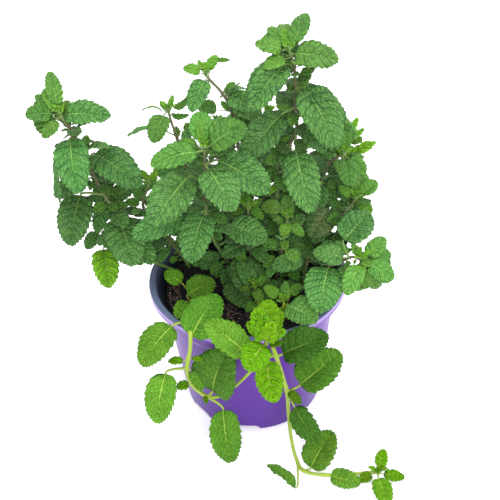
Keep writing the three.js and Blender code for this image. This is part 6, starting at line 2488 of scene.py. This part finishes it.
@dataclass(frozen=True)
class PottingMix:
    """The soil: a hummocky crumbly top, crumbs and bark lying on it, and a few pale fibres."""

    gap: float = 0.5
    sides: int = 220
    rings: int = 70
    ring_power: float = 0.9
    shoulder: float = 5.4
    foot: float = 2.3
    heart_inset: float = 9.0
    seed: int = 5
    fibres: int = 18
    fibre_steps: int = 9
    fibre_lengths: tuple[float, float] = (4.0, 12.0)
    fibre_curl: float = 5.0
    fibre_radius: float = 0.17
    fibre_rest: float = 0.3
    fibre_lift: float = 1.4
    clod_pitch: float = 0.16
    clod_height: float = 1.1
    grain_pitch: float = 0.5
    grain_shift: float = 9.0
    grain_height: float = 0.9
    sink: float = 0.4
    lump_edge: float = 2.5
    lump_rise: float = 0.4
    neighbours: float = 0.4
    fibre_edge: float = 1.5
    uneven: tuple[float, float] = (0.6, 1.15)
    tilt: float = 0.45
    spots: tuple[tuple[float, float], ...] = (
        (172, 295), (178, 289), (168, 303),
        (232, 313), (246, 317), (226, 321),
    )
    spot_spread: float = 3.2
    spot_share: float = 0.7

    @cached_property
    def noise(self) -> LatticeNoise:
        """The noise of clods and grains."""
        return LatticeNoise(self.seed)

    @property
    def reach(self) -> float:
        """The radius of the soil's top."""
        return float(wall_radius(np.array(SOIL_TOP))) - WALL - self.gap

    def hummock(self, x: np.ndarray, y: np.ndarray) -> np.ndarray:
        """The low rounded hummocks of the packed soil.

        Args:
            x: Where the points lie along X.
            y: Where they lie along Y.

        Returns:
            Their heights: the product of a wave each way, plus two slanting finer waves.
        """
        coarse = np.sin(x * 0.11 + 1.3) * np.cos(y * 0.09 - 0.4)
        fine = np.sin(x * 0.23 - y * 0.19) * 0.5 + np.cos(x * 0.17 + y * 0.27 + 2) * 0.4
        return SOIL_HUMMOCK * (coarse + fine) * 0.6

    def surface(self, x: np.ndarray, y: np.ndarray) -> np.ndarray:
        """The height of the crumbly top.

        Args:
            x: Where the points lie along X.
            y: Where they lie along Y.

        Returns:
            Their heights: the hummocks, plus noise at the size of clods and of grains.
        """
        flat = np.stack((x, y, 0 * x), axis=-1)
        clods = self.noise(flat * self.clod_pitch, 3) * self.clod_height
        grains = np.abs(self.noise(flat * self.grain_pitch + self.grain_shift, 2)) * self.grain_height
        return SOIL_TOP + self.hummock(x, y) + (clods + grains) - self.sink

    def body(self) -> Skin:
        """Makes the body of the soil.

        Returns:
            The closed skin. Its top is a grid of rings, and its foot is stepped as the pot's is.
        """
        tops = self.reach * np.linspace(1 / self.rings, 1, self.rings) ** self.ring_power
        angle = (np.arange(self.sides) * FULL_TURN / self.sides)[None, :]
        x, y = tops[:, None] * np.cos(angle), tops[:, None] * np.sin(angle)
        top = np.stack((x, y, self.surface(x, y)), axis=-1)
        heart = BASE_RADIUS - self.heart_inset - WALL - 2 * self.gap
        walls = [(float(wall_radius(np.array(z))) - WALL - self.gap, z) for z in (70.0, 40.0, self.shoulder)]
        steps = [(heart, self.shoulder), (heart, self.foot), (heart / 2, self.foot), (0.5, self.foot)]
        radius, height = (column[:, None] for column in np.array(walls + steps).T)
        around = (radius * np.cos(angle), radius * np.sin(angle), height + 0 * angle)
        rings = np.concatenate((top, np.stack(around, axis=-1)))
        return Skin.tube(rings, {"pot_zone": np.zeros(rings.shape)}, 0, inward=True)

    def strewn(self, count: int, draw: np.random.Generator, spotted: bool) -> tuple[np.ndarray, np.ndarray]:
        """Places over the soil, evenly or mostly round the spots where the photograph shows bark.

        Args:
            count: How many.
            draw: The draw.
            spotted: Whether most lie round the spots.

        Returns:
            Their two coordinates.
        """
        edge = self.reach - self.lump_edge
        reach = edge * np.sqrt(draw.uniform(0, 1, count))
        angle = draw.uniform(0, FULL_TURN, count)
        x, y = reach * np.cos(angle), reach * np.sin(angle)
        if spotted:
            centres = np.array([VIEW.level(*spot, SOIL_TOP)[:2] for spot in self.spots])
            chosen = centres[draw.integers(0, len(centres), count)]
            chosen = chosen + draw.normal(0, self.spot_spread, (count, 2))
            near = draw.uniform(0, 1, count) < self.spot_share
            x, y = np.where(near, chosen[:, 0], x), np.where(near, chosen[:, 1], y)
            pull = np.minimum(1.0, edge / np.hypot(x, y))
            x, y = x * pull, y * pull
        return x, y

    def lumps(self, kind: Lumps) -> Skin:
        """Small irregular lumps strewn over the soil.

        Args:
            kind: The lumps.

        Returns:
            One skin: each lump is a twenty-faced ball with its corners moved, turned at random.
        """
        count = kind.count
        draw = np.random.default_rng(kind.seed)
        golden = (1 + math.sqrt(5)) / 2
        corners = np.array([(0, a, b * golden) for a, b in product((-1, 1), repeat=2)], float)
        corners = unit(np.vstack((corners, np.roll(corners, 1, axis=1), np.roll(corners, 2, axis=1))))
        near = corners @ corners.T > self.neighbours
        many = len(corners)
        faces = [f for f in combinations(range(many), 3) if all(near[a, b] for a, b in combinations(f, 2))]
        faces = [f if np.linalg.det(corners[list(f)]) > 0 else f[::-1] for f in faces]
        x, y = self.strewn(count, draw, kind.spotted)
        radius = draw.uniform(*kind.radii, count)
        z = self.surface(x, y) + radius * kind.stretch[2] * self.lump_rise
        shape = corners * draw.uniform(*self.uneven, (count, many, 1)) * np.array(kind.stretch)
        turn = draw.uniform(0, FULL_TURN, count)
        tilt = draw.normal(0, self.tilt, count)
        shape = turned(turned(shape, tilt, 0, 2), turn, 0, 1)
        points = shape * radius[:, None, None] + np.stack((x, y, z), -1)[:, None]
        tris = (np.array(faces)[None] + many * np.arange(count)[:, None, None]).reshape(-1, 3)
        points = points.reshape(-1, 3)
        looks = {"pot_zone": np.zeros(points.shape)}
        return Skin(points, np.zeros((0, 4), int), tris, looks, np.zeros(0, bool))

    def threads(self) -> list[Skin]:
        """Thin curled fibres lying on the soil.

        Returns:
            Their skins. Each is an arc that lifts at its middle.
        """
        draw = np.random.default_rng(self.seed + 3)
        skins = []
        part = np.linspace(0, 1, self.fibre_steps)
        shortest, longest = self.fibre_lengths
        for first_x, first_y in zip(*self.strewn(self.fibres, draw, True)):
            way, curl, size = draw.uniform(0, 1, 3)
            heading = way * FULL_TURN + (curl - 0.5) * self.fibre_curl * part
            length = shortest + (longest - shortest) * size
            x = first_x + np.cumsum(np.cos(heading)) * length / self.fibre_steps
            y = first_y + np.cumsum(np.sin(heading)) * length / self.fibre_steps
            if np.hypot(x, y).max() > self.reach - self.fibre_edge:
                continue
            z = self.surface(x, y) + self.fibre_rest + self.fibre_lift * np.sin(math.pi * part)
            radii = self.fibre_radius * (1 - 0.5 * part)
            skin = pipe(np.column_stack((x, y, z)), radii, 5, np.zeros(4), ROUND)
            skin.looks = {"pot_zone": np.zeros(skin.points.shape)}
            skin.finish = 0
            skins.append(skin)
        return skins

    def build(self) -> None:
        """Builds the soil's pieces."""
        mix = MixFinish().material()
        browns = (srgb(62, 44, 42), srgb(118, 90, 82), srgb(190, 162, 144))
        pales = (srgb(130, 104, 88), srgb(196, 170, 140), srgb(222, 206, 180))
        brown = MixFinish("bark_chips", *browns, speck=0.8, pale_from=0.62)
        pale = MixFinish("pale_fibres", *pales, speck=0.8, pale_from=0.6)
        Piece("potting_mix", [self.body()], [mix]).take_place("soil", "soil")
        Piece("soil_crumbs", [self.lumps(CRUMBS)], [mix]).take_place("soil")
        Piece("bark_chips", [self.lumps(BARK)], [brown.material()]).take_place("soil")
        Piece("pale_fibres", [*self.threads(), self.lumps(GRAINS)], [pale.material()]).take_place("soil")


@dataclass(frozen=True)
class Lamp:
    """A soft square light: its name, its place and its side in metres, and its power in watts."""

    name: str
    place: Place
    size: float
    watts: float

    def hang(self, aim: Place) -> None:
        """Hangs the light.

        Args:
            aim: What it faces, in metres.
        """
        data = bpy.data.lights.new(self.name, "AREA")
        data.size = self.size
        data.energy = self.watts
        light = bpy.data.objects.new(self.name, data)
        facing = unit(np.array(aim) - np.array(self.place))
        light.location = self.place
        light.rotation_mode = "QUATERNION"
        light.rotation_quaternion = Vector(facing.tolist()).to_track_quat("-Z", "Y")
        bpy.context.scene.collection.objects.link(light)


@dataclass(frozen=True)
class Studio:
    """The plain pale floor and the soft light round the plant."""

    floor_half: float = 2500.0
    drop: float = 0.25
    world_strength: float = 0.75
    sky: Colour = (1.0, 1.0, 1.0, 1.0)
    aim: Place = (0.0, 0.0, 0.12)
    lamps: tuple[Lamp, ...] = (
        Lamp("high_light", (-0.3, -0.1, 1.4), 1.0, 15.0),
        Lamp("front_light", (0.25, -1.2, 1.0), 0.9, 19.0),
        Lamp("side_light", (0.9, 0.35, 0.75), 0.7, 7.0),
    )

    def build(self) -> None:
        """Builds the floor, the world and the lights."""
        reach = self.floor_half * MM
        mesh = bpy.data.meshes.new("floor")
        corners = [(-reach, -reach), (reach, -reach), (reach, reach), (-reach, reach)]
        mesh.from_pydata([(x, y, -self.drop * MM) for x, y in corners], [], [(0, 1, 2, 3)])
        mesh.materials.append(PlainFloor().material())
        floor = bpy.data.objects.new("floor", mesh)
        bpy.context.scene.collection.objects.link(floor)
        world = bpy.data.worlds.new("studio")
        world.use_nodes = True
        background = world.node_tree.nodes["Background"]
        background.inputs["Color"].default_value = self.sky
        background.inputs["Strength"].default_value = self.world_strength
        bpy.context.scene.world = world
        for lamp in self.lamps:
            lamp.hang(self.aim)
        view = bpy.context.scene.view_settings
        view.view_transform = "Standard"
        view.look = "None"


def main() -> None:
    """Builds the camera and the studio, then the pot, the soil and the leafy stems."""
    logging.basicConfig(level=logging.INFO, format="%(message)s")
    VIEW.make_camera()
    Studio().build()
    Pot().build()
    PottingMix().build()
    bush = Bush()
    bush.set_packed_leaves()
    seen = [blade for blade in bush.placed if bush.stems[blade.shoot].shoot.growth is not Growth.BACK]
    full = Fullness(bush, SightMap(seen))
    counts = (len(seen), full.add_young(), full.add_pairs(), full.fill_gaps(), full.add_buds())
    log.info("leaves: %d seen, %d young, %d in pairs, %d in gaps, %d in buds", *counts)
    bark = BarkFinish().material()
    bush_leaf = LeafFinish().material()
    soft_leaf = LeafFinish("trailing_leaf", gloss=1.14, sheen=0.0, vein=srgb(172, 202, 84)).material()
    maker = ShootMaker(np.array([blade.centre for blade in bush.placed if blade.length > CANOPY_LEAF]))
    total = 0
    for stem in bush.stems:
        leaf = soft_leaf if stem.shoot.growth is Growth.TRAILING else bush_leaf
        total += maker.make(stem, [leaf, bark]).faces
    log.info("leafy stems: %d triangles", total)


if __name__ == "__main__":
    main()
